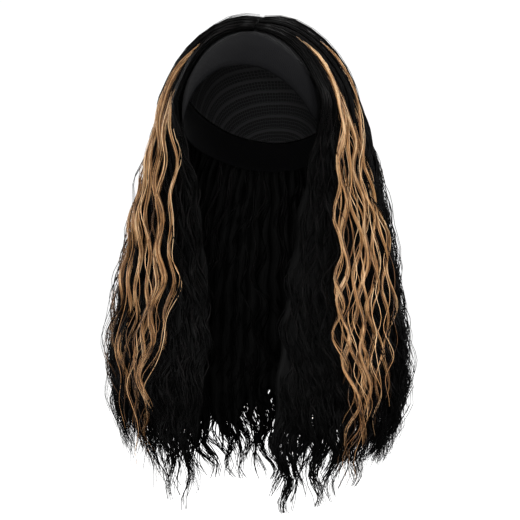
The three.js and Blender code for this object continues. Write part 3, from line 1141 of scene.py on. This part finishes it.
    def wander(
        self,
        locks: Locks,
        of: np.ndarray,
        own: float,
        covered: np.ndarray,
        left: np.ndarray,
        freedom: np.ndarray,
        meander: np.ndarray,
    ) -> tuple[np.ndarray, np.ndarray]:
        """Draws how far strands leave their places in their locks: by crimp, by loose tips and by straying.

        Args:
            locks: The locks.
            of: Index of the lock that each strand is in.
            own: Share of its own waywardness that each strand shows.
            covered: Length from each point to its strand's root.
            left: Length from it to the tip.
            freedom: How freely the hair waves there, from 0 to 1.
            meander: Its slow bend there, from -1 to 1.

        Returns:
            How far each point lies aside, and how far out of the hair.
        """
        fall, count = locks.fall, len(of)
        crimp = TURN * left / (self.crimp_share * locks.length[of]) + self.crimp_turn * locks.phase[of]
        fine = np.sin(crimp + self.about(self.crimp_scatter, count)) * freedom
        crimped = fall.fine_height * (1 + self.crimp_growth * (1 - ease(left, *self.crimp_growth_left)))
        loose = own * (1 - ease(left, 0, self.loose_length)) ** self.loose_power
        away = self.between(self.stray_of_lock, len(locks.ways))[of]
        away = away * self.between(self.stray_of_strand, count) * fall.stray
        aside = crimped * fine + loose * self.about(self.loose_aside, count)
        aside = aside + self.stray_aside * away * meander * ease(covered, *self.stray_aside_covered)
        lifted = away * ease(covered, *self.stray_covered) * lerp(1.0, meander, self.stray_meander)
        return aside, lifted - loose * self.between(self.loose_depth, count)

    def run(
        self,
        locks: Locks,
        of: np.ndarray,
        rows: np.ndarray,
        angle: np.ndarray,
        radius: np.ndarray,
        own: float,
    ) -> Lines:
        """Runs lines along locks.

        Args:
            locks: The locks.
            of: Index of the lock that each line follows.
            rows: Rows of each line's points.
            angle: Side of the lock that each line keeps to, with a quarter turn outermost.
            radius: Distance from the lock's middle, in half widths and half depths.
            own: Share of its own waywardness that each line shows, 0 to keep exactly to the lock.

        Returns:
            The lines.
        """
        form, fall, count = self.form, locks.fall, len(of)
        middle = locks.middle(of, rows)
        clump = self.clump(middle[:, -1:])[0]
        gather = fall.gather * ease(rows, *self.gather_rows)
        middle = lerp(middle, clump, gather)
        fallen = form.read(form.fall, middle, rows)[..., 0]
        covered, left = fallen - fallen[:, :1], fallen[:, -1:] - fallen
        freedom = ease(fallen, *self.wave_free)
        turns = TURN * fallen
        pulse = np.sin(turns / locks.pulse[of] + locks.pulse_phase[of])
        spread = lerp(fall.fan, fall.bundle * (1 + self.pulse_share * pulse), freedom)
        spread = spread * lerp(1.0, fall.narrowing, ease(rows, *self.narrow_rows))
        spread = spread * lerp(self.pinch_share, 1.0, ease(left, 0, self.pinch_length))
        place = middle + locks.half_width[of] * spread * radius * np.cos(angle)

        length = locks.length[of] * (1 + own * self.about(self.own_length, count))
        cycle = turns / length + locks.phase[of] + own * self.about(self.own_turn, count)
        gap = (turns / self.clump_length + self.clump_turn * clump - cycle)[:, -1:]
        cycle = cycle + gather * ((gap + math.pi) % TURN - math.pi)
        height = locks.height[of] * (1 + own * self.about(self.own_height, count))
        height = height * freedom * lerp(self.wave_grown_from, 1.0, ease(fallen, *self.wave_grown))
        meander = np.sin(turns / self.meander_length + locks.meander_phase[of])
        aside = height * np.sin(cycle) + self.meander_height * freedom * meander

        full = ease(1 - np.abs(place), 0, form.full_behind)
        from_parting = rows[:, :1] < PARTING_ROW
        root_depth = np.where(from_parting, self.parting_root_depth, self.lower_root_depth)
        recess = fall.recess * lerp(self.edge_recess_share, 1.0, full) * ease(rows, *self.recess_rows)
        deep = (
            locks.depth[of] * lerp(self.edge_depth_share, 1.0, full)
            - fall.half_depth * radius * np.sin(angle)
            + self.wave_depth * height * np.sin(cycle + locks.lead[of])
            + root_depth * (1 - ease(covered, 0, self.root_depth_length))
            + fall.sink * form.read(self.bed, place, rows)[..., 0]
            + recess * (1 - self.tip_rise * ease(rows, *self.tip_rise_rows))
        )
        if own:
            farther, lifted = self.wander(locks, of, own, covered, left, freedom, meander)
            aside = aside + farther
            deep = deep - lifted

        surface = form.inner if fall.from_inside else form.outer
        outward = unit(form.read(form.outward, place, rows)) * (-1 if fall.from_inside else 1)
        across = form.read(form.across, place, rows)
        points = form.read(surface, place, rows) + across * aside[..., None] - outward * deep[..., None]
        return Lines(points, outward, covered, left)

    def strands(self, locks: Locks, name: str, material: bpy.types.Material) -> bpy.types.Object:
        """Grows the locks' strands: closed three-sided tubes, flat across and ridged outwards.

        Args:
            locks: The locks.
            name: Piece's name.
            material: Its finish.

        Returns:
            The piece.
        """
        fall = locks.fall
        numbers = np.round(fall.strands * locks.half_width[:, 0] / locks.half_width.max())
        of = np.repeat(np.arange(len(locks.ways)), np.maximum(1, numbers).astype(int))
        count = len(of)
        below = locks.start[of] > PARTING_ROW
        start = np.clip(locks.start[of] + self.between(self.root_scatter, count) * below, 0, None)
        end = locks.end[of] - fall.raggedness * self.between((0, 1), count) ** 2
        end = np.clip(end + self.between(self.end_scatter, count), None, self.form.last_row)
        rows = self.rows(start, end, fall.steps)
        angle = self.between(self.strand_sides, count)
        stands_off = self.between((0, 1), count) < fall.loose_share
        loose = self.between(self.loose_radius, count)
        radius = np.where(stands_off, loose, self.between(fall.cling, count))
        lines = self.run(locks, of, rows, angle, radius, fall.waywardness)
        half = self.between(fall.width, count) / 2
        half = half * lerp(self.root_thin_share, 1.0, ease(lines.covered, 0, self.root_thin_length))
        thin_length = self.tip_thin_length * self.between(self.tip_thin_scatter, count)
        half = half * lerp(self.tip_thin_share, 1.0, ease(lines.left, 0, thin_length))

        along = unit(np.gradient(lines.points, axis=1))
        across = unit(np.cross(along, lines.outward))
        up = np.cross(across, along)
        rings = [lines.points + half[..., None] * (across * x + up * y) for x, y in self.section]
        turn = TURN * self.between((0, 1), len(locks.ways))[of]
        gathered = self.tone_of_lock * np.sin(self.tone_gatherings * angle + turn)
        tone = 0.5 + gathered + self.about(self.tone_of_strand, count)
        tone = np.clip(tone, self.tone_margin, 1 - self.tone_margin)
        around = tone + self.tone_margin * (np.linspace(0, 1, len(self.section) + 1)[None, :] - 0.5)
        share = np.broadcast_to(np.linspace(0, 1, fall.steps), (count, fall.steps))
        return closed_tubes(name, np.stack(rings, axis=2), around, share, material)

    def bodies(self, locks: Locks, sides: int, name: str, material: bpy.types.Material) -> bpy.types.Object:
        """Makes the locks' bodies: closed flattened tubes with pointed ends that their strands lie on.

        Args:
            locks: The locks.
            sides: Sides of each tube.
            name: Piece's name.
            material: Its finish.

        Returns:
            The piece.
        """
        form, fall, count = self.form, locks.fall, len(locks.ways)
        of = np.repeat(np.arange(count), sides)
        rows = self.rows(locks.start, locks.end - self.body_short_rows, fall.steps)[of]
        angle = np.tile(np.arange(sides) * TURN / sides, count)[:, None]
        fallen = form.read(form.fall, locks.middle(of, rows), rows)[..., 0]
        covered, left = fallen - fallen[:, :1], fallen[:, -1:] - fallen
        taper = lerp(self.body_tip_share, 1.0, ease(left, 0, self.body_tip_length))
        root = lerp(self.body_root_share, 1.0, ease(covered, 0, self.body_root_length))
        taper = taper * np.where(locks.start[of] > PARTING_ROW, root, 1.0)
        lines = self.run(locks, of, rows, angle, fall.core * taper, 0.0)
        rings = lines.points.reshape(count, sides, fall.steps, 3).transpose(0, 2, 1, 3)
        girth = 4 * locks.half_width.max() * fall.bundle * PLACE_LENGTH * MM
        shifted = self.body_map_step * np.arange(count)[:, None]
        around = girth * (np.linspace(0, 1, sides + 1)[None, :] + shifted)
        along = fallen.reshape(count, sides, fall.steps)[:, 0] * MM
        return closed_tubes(name, rings, around, along, material)


def closed_tubes(
    name: str, rings: np.ndarray, around: np.ndarray, along: np.ndarray, material: bpy.types.Material
) -> bpy.types.Object:
    """Joins tubes with closed ends into one piece.

    No operator makes thousands of tubes that each follow a line of their own, so the faces are written here.

    Args:
        name: Piece's name.
        rings: Points in millimetres, by tube, step and side.
        around: The map's u, by tube and edge round it.
        along: The map's v, by tube and step.
        material: Their finish.

    Returns:
        The piece.
    """
    count, steps, sides = rings.shape[:3]
    index = np.arange(count * steps * sides).reshape(count, steps, sides)
    beside = np.roll(index, -1, axis=2)
    quads = np.stack([index[:, :-1], beside[:, :-1], beside[:, 1:], index[:, 1:]], axis=-1).reshape(-1, 4)
    caps = np.concatenate([index[:, 0, ::-1], index[:, -1]])
    mesh = bpy.data.meshes.new(name)
    mesh.from_pydata((rings * MM).reshape(-1, 3), [], quads.tolist() + caps.tolist())
    shape = (count, steps - 1, sides)
    low_u, high_u = (np.broadcast_to(u[:, None, :], shape) for u in (around[:, :-1], around[:, 1:]))
    low_v, high_v = (np.broadcast_to(v[:, :, None], shape) for v in (along[:, :-1], along[:, 1:]))
    end_u = np.concatenate([around[:, -2::-1], around[:, :-1]])
    end_v = np.repeat(np.concatenate([along[:, :1], along[:, -1:]]), sides, axis=1)
    u = np.concatenate([np.stack([low_u, high_u, high_u, low_u], axis=-1).ravel(), end_u.ravel()])
    v = np.concatenate([np.stack([low_v, low_v, high_v, high_v], axis=-1).ravel(), end_v.ravel()])
    mesh.uv_layers.new(name="UVMap").data.foreach_set("uv", np.stack([u, v], axis=-1).ravel())
    if signed_volume(rings[0], quads[: (steps - 1) * sides]) < 0:
        mesh.flip_normals()
    return show(mesh, name, material)


def signed_volume(rings: np.ndarray, quads: np.ndarray) -> float:
    """Measures the inside of one tube's sides, to tell which way its faces point.

    Args:
        rings: The tube's points, by step and side.
        quads: Its faces, as indices into them.

    Returns:
        Six times the volume, below 0 where the faces point inwards.
    """
    points = rings.reshape(-1, 3) - rings.reshape(-1, 3).mean(axis=0)
    a, b, c, d = (points[quads[:, k]] for k in range(4))
    return float(np.sum(a * np.cross(b, c)) + np.sum(a * np.cross(c, d)))


# Sub-assemblies


@dataclass(frozen=True)
class BandDrop:
    """How far the band has come down from front to nape, as a share, at an angle from the face in degrees."""

    angle: float
    share: float


BAND_DROPS = (
    BandDrop(0, 0),
    BandDrop(20, 0.045),
    BandDrop(40, 0.21),
    BandDrop(60, 0.49),
    BandDrop(80, 0.66),
    BandDrop(110, 0.81),
    BandDrop(145, 0.95),
    BandDrop(180, 1.0),
)


@dataclass
class Headband:
    """Stretch band of jersey folded double, closed by a seam at the nape.

    Its edges are folds, each rounded over fold_share of its width. Its seam joins points within seam_reach.
    It narrows as it is stretched round the head, so it lies flat wider than it is worn, by the factor slack,
    which is not used here.
    """

    head: HeadForm
    thickness: float = 2.2
    front_width: float = 50.0
    nape_width: float = 36.0
    front_drop: float = 48.0
    nape_drop: float = 150.0
    fold_share: float = 0.12
    slack: float = 1.15
    seam_reach: float = 0.01
    columns: int = 144
    rows: int = 48

    def edges(self, azimuth: float) -> tuple[float, float]:
        """Finds the band's edges.

        Args:
            azimuth: Angle from the face, in radians.

        Returns:
            Polar angles of the upper and lower edges there.
        """
        turned = abs((azimuth + math.pi) % TURN - math.pi)
        angle = math.degrees(turned)
        last = len(BAND_DROPS) - 1
        at = min(max(sum(drop.angle < angle for drop in BAND_DROPS), 1), last)
        before, after = BAND_DROPS[at - 1], BAND_DROPS[at]
        share = (angle - before.angle) / (after.angle - before.angle)
        rise = (after.share - BAND_DROPS[max(at - 2, 0)].share) / 2
        land = (BAND_DROPS[min(at + 1, last)].share - before.share) / 2
        drop_share = hermite(before.share, after.share, rise, land, share)
        drop = lerp(self.front_drop, self.nape_drop, drop_share)
        width = lerp(self.front_width, self.nape_width, float(ease(turned, 0, math.pi)))
        side = math.sin(turned) ** 2
        radius = (self.head.crown_height + lerp(self.head.half_length, self.head.half_width, side)) / 2
        lower = math.acos(1 - drop / self.head.crown_height)
        return lower - width / radius, lower

    def across(self, share: float) -> tuple[float, float]:
        """Place across the band and through its cloth, at a share of the way round its folded profile.

        Args:
            share: From 0 to 1, out along the inside, round the lower fold and back along the outside.

        Returns:
            The share from the upper edge to the lower one, and the share of the thickness.
        """
        turn = (share % 1.0) * 2
        inside = turn < 1
        run = turn if inside else 2 - turn
        near = min(run, 1 - run)
        bend = math.sin(min(near / self.fold_share, 1.0) * math.pi / 2)
        reach = self.fold_share * bend if near < self.fold_share else near
        depth = 0.5 - 0.5 * bend if inside else 0.5 + 0.5 * bend
        return (reach if run < 0.5 else 1 - reach), depth

    def build(self) -> bpy.types.Object:
        """Builds the band as a folded loop of cloth and dresses it.

        Returns:
            The piece.
        """
        bm = bmesh.new()
        maps = bm.loops.layers.uv.new("UVMap")
        bmesh.ops.create_grid(bm, x_segments=self.columns, y_segments=self.rows, size=0.5)
        grid = {v: (v.co.x + 0.5, v.co.y + 0.5) for v in bm.verts}
        length = math.pi * (self.head.half_width + self.head.half_length) * MM
        for loop in (loop for face in bm.faces for loop in face.loops):
            round_share, across_share = grid[loop.vert]
            loop[maps].uv = (round_share * length, across_share * 2 * self.front_width * MM)
        for vert, (round_share, across_share) in grid.items():
            azimuth = (round_share - 0.5) * TURN
            upper, lower = self.edges(azimuth)
            down, through = self.across(across_share)
            direction = toward(lerp(upper, lower, down), azimuth)
            vert.co = Vector(self.head.point(direction, through * self.thickness))
        bmesh.ops.remove_doubles(bm, verts=bm.verts, dist=self.seam_reach)
        bmesh.ops.recalc_face_normals(bm, faces=bm.faces)
        piece = piece_from(bm, "headband_jersey", BLACK_JERSEY.build())
        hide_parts("headband")
        return piece


@dataclass
class Cap:
    """Net cap that fills the ring of the band.

    It is cut from a unit ball, just below the widest ring. Its map is a disc of map_radius, moved by
    map_shift of that. It lies flat larger than it is worn, by the factor slack, for the gathers at its rim;
    slack is not used here.
    """

    band: Headband
    thickness: float = 1.0
    seam: float = 0.7
    clearance: float = 0.3
    cut_margin: float = 0.001
    map_radius: float = 120.0
    map_shift: float = 0.2
    slack: float = 1.12
    columns: int = 96
    rings: int = 40

    @staticmethod
    def from_crown(at: Vector) -> float:
        """Share of the way from the crown to the rim at a point of the unit ball."""
        return math.acos(max(-1.0, min(1.0, at.z))) / (math.pi / 2)

    def build(self) -> bpy.types.Object:
        """Builds the cap from the upper half of a ball, gives it its thickness and dresses it.

        Returns:
            The piece.
        """
        head = self.band.head
        bm = bmesh.new()
        maps = bm.loops.layers.uv.new("UVMap")
        bmesh.ops.create_uvsphere(bm, u_segments=self.columns, v_segments=2 * self.rings, radius=1.0)
        below = [v for v in bm.verts if v.co.z < -self.cut_margin]
        bmesh.ops.delete(bm, geom=below, context="VERTS")
        ball = {v: v.co.copy() for v in bm.verts}
        for vert, at in ball.items():
            azimuth = math.atan2(at.x, -at.y)
            polar = (self.band.edges(azimuth)[0] - self.seam / head.crown_height) * self.from_crown(at)
            vert.co = Vector(head.point(toward(polar, azimuth), self.clearance))
        for loop in (loop for face in bm.faces for loop in face.loops):
            at = ball[loop.vert]
            share = self.from_crown(at)
            flat = Vector((at.x * share, at.y * share - self.map_shift))
            loop[maps].uv = flat * self.map_radius * MM
        bmesh.ops.recalc_face_normals(bm, faces=bm.faces)
        bmesh.ops.solidify(bm, geom=bm.faces[:], thickness=-self.thickness)
        bmesh.ops.recalc_face_normals(bm, faces=bm.faces)
        piece = piece_from(bm, "cap_net", BLACK_NET.build())
        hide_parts("cap")
        return piece


@dataclass
class HairMass:
    """Full dark locks that fill the hair below its outer strands, each a long lobed body with a pointed tip.

    Depths are shares of the way from the hair's outer surface to its inner one.
    """

    groomer: Groomer
    locks: int = 66
    sides: int = 8
    rings: int = 46
    first_row: float = 0.02
    last_rows: Span = (12.2, 12.4)
    outer_depth: float = 0.45
    inner_depth: float = 0.9
    overlap: float = 1.65
    squareness: float = 0.8
    gather: float = 0.8
    tip_share: float = 0.06
    tip_length: float = 85.0
    wave_height: float = 1.6
    wave_length: float = 57.0
    map_step: float = 1.3

    def lock(self, place: float, tip: float) -> tuple[np.ndarray, np.ndarray]:
        """Shapes one lock.

        Args:
            place: Its place round the head.
            tip: How much lower than the others it ends, in rows.

        Returns:
            Its rings, in millimetres, and how far each has fallen.
        """
        groomer, form, rng = self.groomer, self.groomer.form, self.groomer.rng
        clump, reach = groomer.clump(np.array(place))
        end = tip + float(reach) + rng.uniform(*self.last_rows)
        rows = groomer.rows(np.array([[self.first_row]]), np.array([[end]]), self.rings)[0]
        fallen = form.read(form.fall, np.full_like(rows, place), rows)[..., 0]
        freedom = ease(fallen, *groomer.wave_free)
        taper = lerp(self.tip_share, 1.0, ease(fallen[-1] - fallen, 0, self.tip_length))
        phase = rng.uniform(0, TURN)
        angle = np.linspace(0, TURN, self.sides, endpoint=False)
        squared = np.sign(np.cos(angle)) * np.abs(np.cos(angle)) ** self.squareness
        middle = lerp(place, float(clump), self.gather * ease(rows, *groomer.gather_rows))[:, None]
        places = np.clip(middle + self.overlap / self.locks * taper[:, None] * squared, -1, 1)
        rows_each = np.broadcast_to(rows[:, None], places.shape)
        tables = (form.outer, form.inner, form.across)
        outer, inner, across = (form.read(table, places, rows_each) for table in tables)
        depth = (self.outer_depth + self.inner_depth) / 2
        depth = depth - (self.inner_depth - self.outer_depth) / 2 * taper[:, None] * np.sin(angle)
        wave = self.wave_height * freedom * np.sin(TURN * fallen / self.wave_length + phase)
        return outer + (inner - outer) * depth[..., None] + across * wave[:, None, None], fallen

    def build(self, region: Region, name: str, node: str) -> bpy.types.Object:
        """Builds the locks of one region and dresses them.

        Args:
            region: Stretch of hair that they fill.
            name: Piece's name.
            node: Node that they stand for.

        Returns:
            The piece.
        """
        low, high, tip = region.value
        places = -1 + (np.arange(self.locks) + 0.5) * 2 / self.locks
        locks = [self.lock(p, tip) for p in places if low <= p < high]
        rings = np.stack([points for points, _ in locks])
        along = np.stack([fallen for _, fallen in locks]) * MM
        girth = 4 * self.overlap / self.locks * PLACE_LENGTH * MM
        shifted = self.map_step * np.arange(len(locks))[:, None]
        around = girth * (np.linspace(0, 1, self.sides + 1)[None, :] + shifted)
        piece = closed_tubes(name, rings, around, along, BLACK_MASS.build())
        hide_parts(node)
        return piece


@dataclass
class DarkHair:
    """Black strands over the hair's whole surface: locks outside, locks inside, loose tips and strays."""

    groomer: Groomer
    locks: int = 96
    body_sides: int = 6
    unevenness: float = 0.2
    outer: Fall = Fall(
        strands=12,
        width=(0.8, 1.4),
        depth=(0.0, 6.5),
        half_depth=2.4,
        start=(0.0, 0.08),
        end=(12.3, 12.85),
        steps=54,
        wave_height=(4.0, 6.2),
    )
    under: Fall = Fall(
        strands=5,
        width=(1.1, 1.9),
        depth=(5.0, 8.0),
        half_depth=3.0,
        start=(3.5, 5.5),
        end=(12.3, 12.9),
        steps=48,
    )
    inside: Fall = Fall(
        strands=5,
        width=(1.2, 2.0),
        depth=(-0.5, 2.5),
        half_depth=2.0,
        start=(5.6, 6.6),
        end=(12.3, 12.9),
        steps=48,
        recess=0.0,
        sink=0.0,
        from_inside=True,
    )
    tips: Fall = Fall(
        strands=20,
        width=(0.9, 1.4),
        depth=(0.0, 12.0),
        half_depth=4.0,
        start=(9.8, 10.8),
        end=(12.3, 12.95),
        steps=20,
        wave_height=(4.5, 7.5),
        bundle=0.85,
        waywardness=0.65,
        raggedness=0.5,
    )
    strays: Fall = Fall(
        strands=3,
        width=(0.8, 1.2),
        depth=(0.0, 4.0),
        half_depth=1.5,
        start=(5.5, 9.5),
        end=(11.0, 12.9),
        steps=36,
        wave_height=(3.5, 6.5),
        bundle=0.5,
        recess=0.0,
        sink=12.0,
        stray=8.0,
    )

    def build(self, region: Region, name: str, node: str) -> list[bpy.types.Object]:
        """Builds the strands of one region and dresses them.

        Args:
            region: Stretch of hair that they cover.
            name: Start of the pieces' names.
            node: Node that they stand for.

        Returns:
            The pieces.
        """
        low, high, tip = region.value
        pieces = []
        for part, fall, share in (
            ("outer", self.outer, 1.0),
            ("under", self.under, 0.5),
            ("inside", self.inside, 0.42),
            ("tips", self.tips, 0.6),
            ("strays", self.strays, 1.0),
        ):
            spacing = 2 / (self.locks * share)
            places = np.arange(low + spacing / 2, high, spacing)
            uneven = self.groomer.rng.uniform(-self.unevenness, self.unevenness, len(places))
            places = places + uneven * spacing
            ways = np.repeat(places[:, None], len(WAY_ROWS), axis=1)
            locks = self.groomer.lay(ways, spacing / 2, fall)
            locks.end = locks.end + tip + self.groomer.clump(places)[1][:, None]
            pieces.append(self.groomer.strands(locks, f"{name}_{part}", BLACK_FIBRE.build()))
            if part == "outer":
                bodies = self.groomer.bodies(locks, self.body_sides, f"{name}_locks", BLACK_MASS.build())
                pieces.append(bodies)
        for piece in pieces:
            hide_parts(node)
        return pieces


@dataclass
class Highlights:
    """Honey-blonde locks that come out from under the top hair and wave down both sides.

    A highlight starts and ends where its way says. Wisps are thin strands that leave it, and they start and
    end lower than it by wisp_rows.
    """

    groomer: Groomer
    half_width: float = 0.0053
    body_sides: int = 8
    wisp_rows: Span = (1.0, 0.8)
    fall: Fall = Fall(
        strands=34,
        width=(0.5, 0.85),
        depth=(-2.2, 0.4),
        half_depth=2.2,
        steps=56,
        wave_height=(3.5, 5.6),
        wave_length=(60.0, 72.0),
        disorder=0.9,
        bundle=0.9,
        fan=0.62,
        narrowing=0.62,
        fine_height=0.3,
        loose_share=0.06,
        waywardness=0.42,
        raggedness=2.4,
        recess=1.5,
        sink=0.0,
        gather=0.0,
        core=0.5,
        cling=(0.3, 1.25),
    )
    wisps: Fall = Fall(
        strands=3,
        width=(0.5, 0.8),
        depth=(-1.5, 1.5),
        half_depth=2.0,
        steps=44,
        wave_length=(60.0, 72.0),
        disorder=1.2,
        bundle=2.2,
        fan=1.2,
        recess=0.0,
        sink=0.0,
        gather=0.0,
        stray=6.5,
    )

    def build(
        self, side: int, ways: tuple[Way, ...], name: str, nodes: tuple[str, ...]
    ) -> list[bpy.types.Object]:
        """Builds the locks of one side and dresses them.

        Args:
            side: 1 for the wearer's left, -1 for the right.
            ways: The locks' courses.
            name: Start of the pieces' names.
            nodes: Nodes that they stand for.

        Returns:
            The pieces.
        """
        places = side * (1 - np.array([way.places() for way in ways]))
        ends = np.array([[way.start, way.end] for way in ways])
        half_width = self.half_width * np.array([[way.size] for way in ways])
        locks = self.groomer.lay(places, half_width, self.fall, ends)
        wisps = self.groomer.lay(places, half_width, self.wisps, ends + self.wisp_rows)
        pieces = [
            self.groomer.strands(locks, f"{name}_strands", HONEY_FIBRE.build()),
            self.groomer.strands(wisps, f"{name}_wisps", HONEY_FIBRE.build()),
            self.groomer.bodies(locks, self.body_sides, f"{name}_locks", SHADED_HONEY_MASS.build()),
        ]
        for piece in pieces:
            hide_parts(*nodes)
        return pieces


@dataclass(frozen=True)
class Lamp:
    """Square soft light: where it stands and its side, in metres, and its power in watts."""

    name: str
    place: tuple[float, float, float]
    size: float
    power: float


LAMPS = (
    Lamp("key", (-1.1, -1.7, 1.5), 0.8, 58),
    Lamp("fill", (1.7, -1.4, 0.9), 1.0, 36),
    Lamp("front", (0.3, -1.9, -0.2), 0.6, 14),
    Lamp("back", (0.6, 2.3, 0.9), 1.2, 30),
    Lamp("top", (0.2, 0.3, 1.9), 1.0, 34),
    Lamp("left_side", (2.0, 0.5, 0.5), 0.9, 22),
    Lamp("right_side", (-2.0, 0.5, 0.5), 0.9, 17),
)


@dataclass
class Studio:
    """White floor and background, soft light, and the camera at the photograph's angle."""

    azimuth: float = 12.0
    elevation: float = 2.0
    distance: float = 1800.0
    frame_width: float = 541.0
    sensor_width: float = 36.0
    view_limit_m: float = 100.0
    target: tuple[float, float, float] = (1.5, 0.3, -243.0)
    floor_drop: float = 640.0
    floor_half_width_m: float = 12.0
    paper: str = "7a7a7a"
    room_light: float = 0.1
    backdrop_light: float = 1.05

    def camera(self) -> None:
        """Makes the camera."""
        a, e = math.radians(self.azimuth), math.radians(self.elevation)
        back = Vector((math.sin(a) * math.cos(e), -math.cos(a) * math.cos(e), math.sin(e)))
        data = bpy.data.cameras.new("camera")
        data.sensor_width = self.sensor_width
        data.lens = data.sensor_width * self.distance / self.frame_width
        data.clip_end = self.view_limit_m
        camera = bpy.data.objects.new("camera", data)
        camera.location = (Vector(self.target) + back * self.distance) * MM
        camera.rotation_euler = (-back).to_track_quat("-Z", "Y").to_euler()
        bpy.context.scene.collection.objects.link(camera)
        bpy.context.scene.camera = camera

    def light(self, lamp: Lamp) -> None:
        """Adds one of the lamps, turned to the wig.

        Args:
            lamp: The lamp.
        """
        data = bpy.data.lights.new(lamp.name, "AREA")
        data.size = lamp.size
        data.energy = lamp.power
        light = bpy.data.objects.new(lamp.name, data)
        light.location = lamp.place
        aim = Vector(self.target) * MM - Vector(lamp.place)
        light.rotation_euler = aim.to_track_quat("-Z", "Y").to_euler()
        bpy.context.scene.collection.objects.link(light)

    def backdrop(self) -> None:
        """Makes a world that is white to the camera and dim as a light."""
        world = bpy.data.worlds.new("white_room")
        world.use_nodes = True
        tree = world.node_tree
        rays = add_node(tree, "ShaderNodeLightPath")
        strength = add_node(
            tree,
            "ShaderNodeMix",
            {"data_type": "FLOAT"},
            {2: self.room_light, 3: self.backdrop_light},
            {0: rays.outputs["Is Camera Ray"]},
        )
        background = tree.nodes["Background"]
        background.inputs["Color"].default_value = (1, 1, 1, 1)
        connect(tree, background, {"Strength": strength.outputs[0]})
        bpy.context.scene.world = world

    def floor(self) -> None:
        """Makes a floor of matte paper that is white to the camera."""
        same = {"Base Color": linear(self.paper), "Roughness": 0.9, "Emission Color": (1, 1, 1, 1)}
        material, tree, shader = new_material("white_paper", same)
        rays = add_node(tree, "ShaderNodeLightPath")
        connect(tree, shader, {"Emission Strength": rays.outputs["Is Camera Ray"]})
        bm = bmesh.new()
        bmesh.ops.create_grid(bm, x_segments=1, y_segments=1, size=self.floor_half_width_m)
        bmesh.ops.translate(bm, vec=(0, 0, -self.floor_drop * MM), verts=bm.verts)
        mesh = bpy.data.meshes.new("floor")
        bm.to_mesh(mesh)
        bm.free()
        mesh.materials.append(material)
        floor = bpy.data.objects.new("floor", mesh)
        bpy.context.scene.collection.objects.link(floor)

    def build(self) -> None:
        """Makes the background, the floor and the lights."""
        bpy.context.scene.view_settings.view_transform = "Standard"
        self.backdrop()
        self.floor()
        for lamp in LAMPS:
            self.light(lamp)


def main() -> None:
    """Builds the wig and the studio, in order."""
    logging.basicConfig(level=logging.INFO, format="%(message)s")
    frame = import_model()
    LOG.info("nodes: %s", ", ".join(sorted(frame["nodes"])))
    studio = Studio()
    studio.camera()

    band_low, band_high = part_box("headband")
    left_low, left_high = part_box("hair_left")
    back_low, back_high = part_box("hair_back")
    head = HeadForm((band_high.x - band_low.x) / 2 / MM - Headband.thickness)
    form = HairForm(
        head,
        drop=-back_low.z / MM,
        half_width=left_high.x / MM - RIDGE_RISE,
        front_reach=-left_low.y / MM,
        back_reach=back_high.y / MM - RIDGE_RISE,
    )
    band = Headband(head)
    band.build()
    Cap(band).build()
    groomer = Groomer(form, seed=7)
    mass = HairMass(groomer)
    dark = DarkHair(groomer)
    for region, name, node in (
        (Region.LEFT, "hair_left", "hair_left"),
        (Region.RIGHT, "hair_right", "hair_right"),
        (Region.BACK_LEFT, "hair_back_left", "hair_back"),
        (Region.BACK_RIGHT, "hair_back_right", "hair_back"),
    ):
        mass.build(region, f"{name}_mass", node)
        dark.build(region, name, node)
    highlights = Highlights(groomer)
    for side, ways, word in ((1, LEFT_WAYS, "left"), (-1, RIGHT_WAYS, "right")):
        nodes = (f"highlight_{word}_1", f"highlight_{word}_2")
        highlights.build(side, ways, f"highlights_{word}", nodes)
    studio.build()


if __name__ == "__main__":
    main()
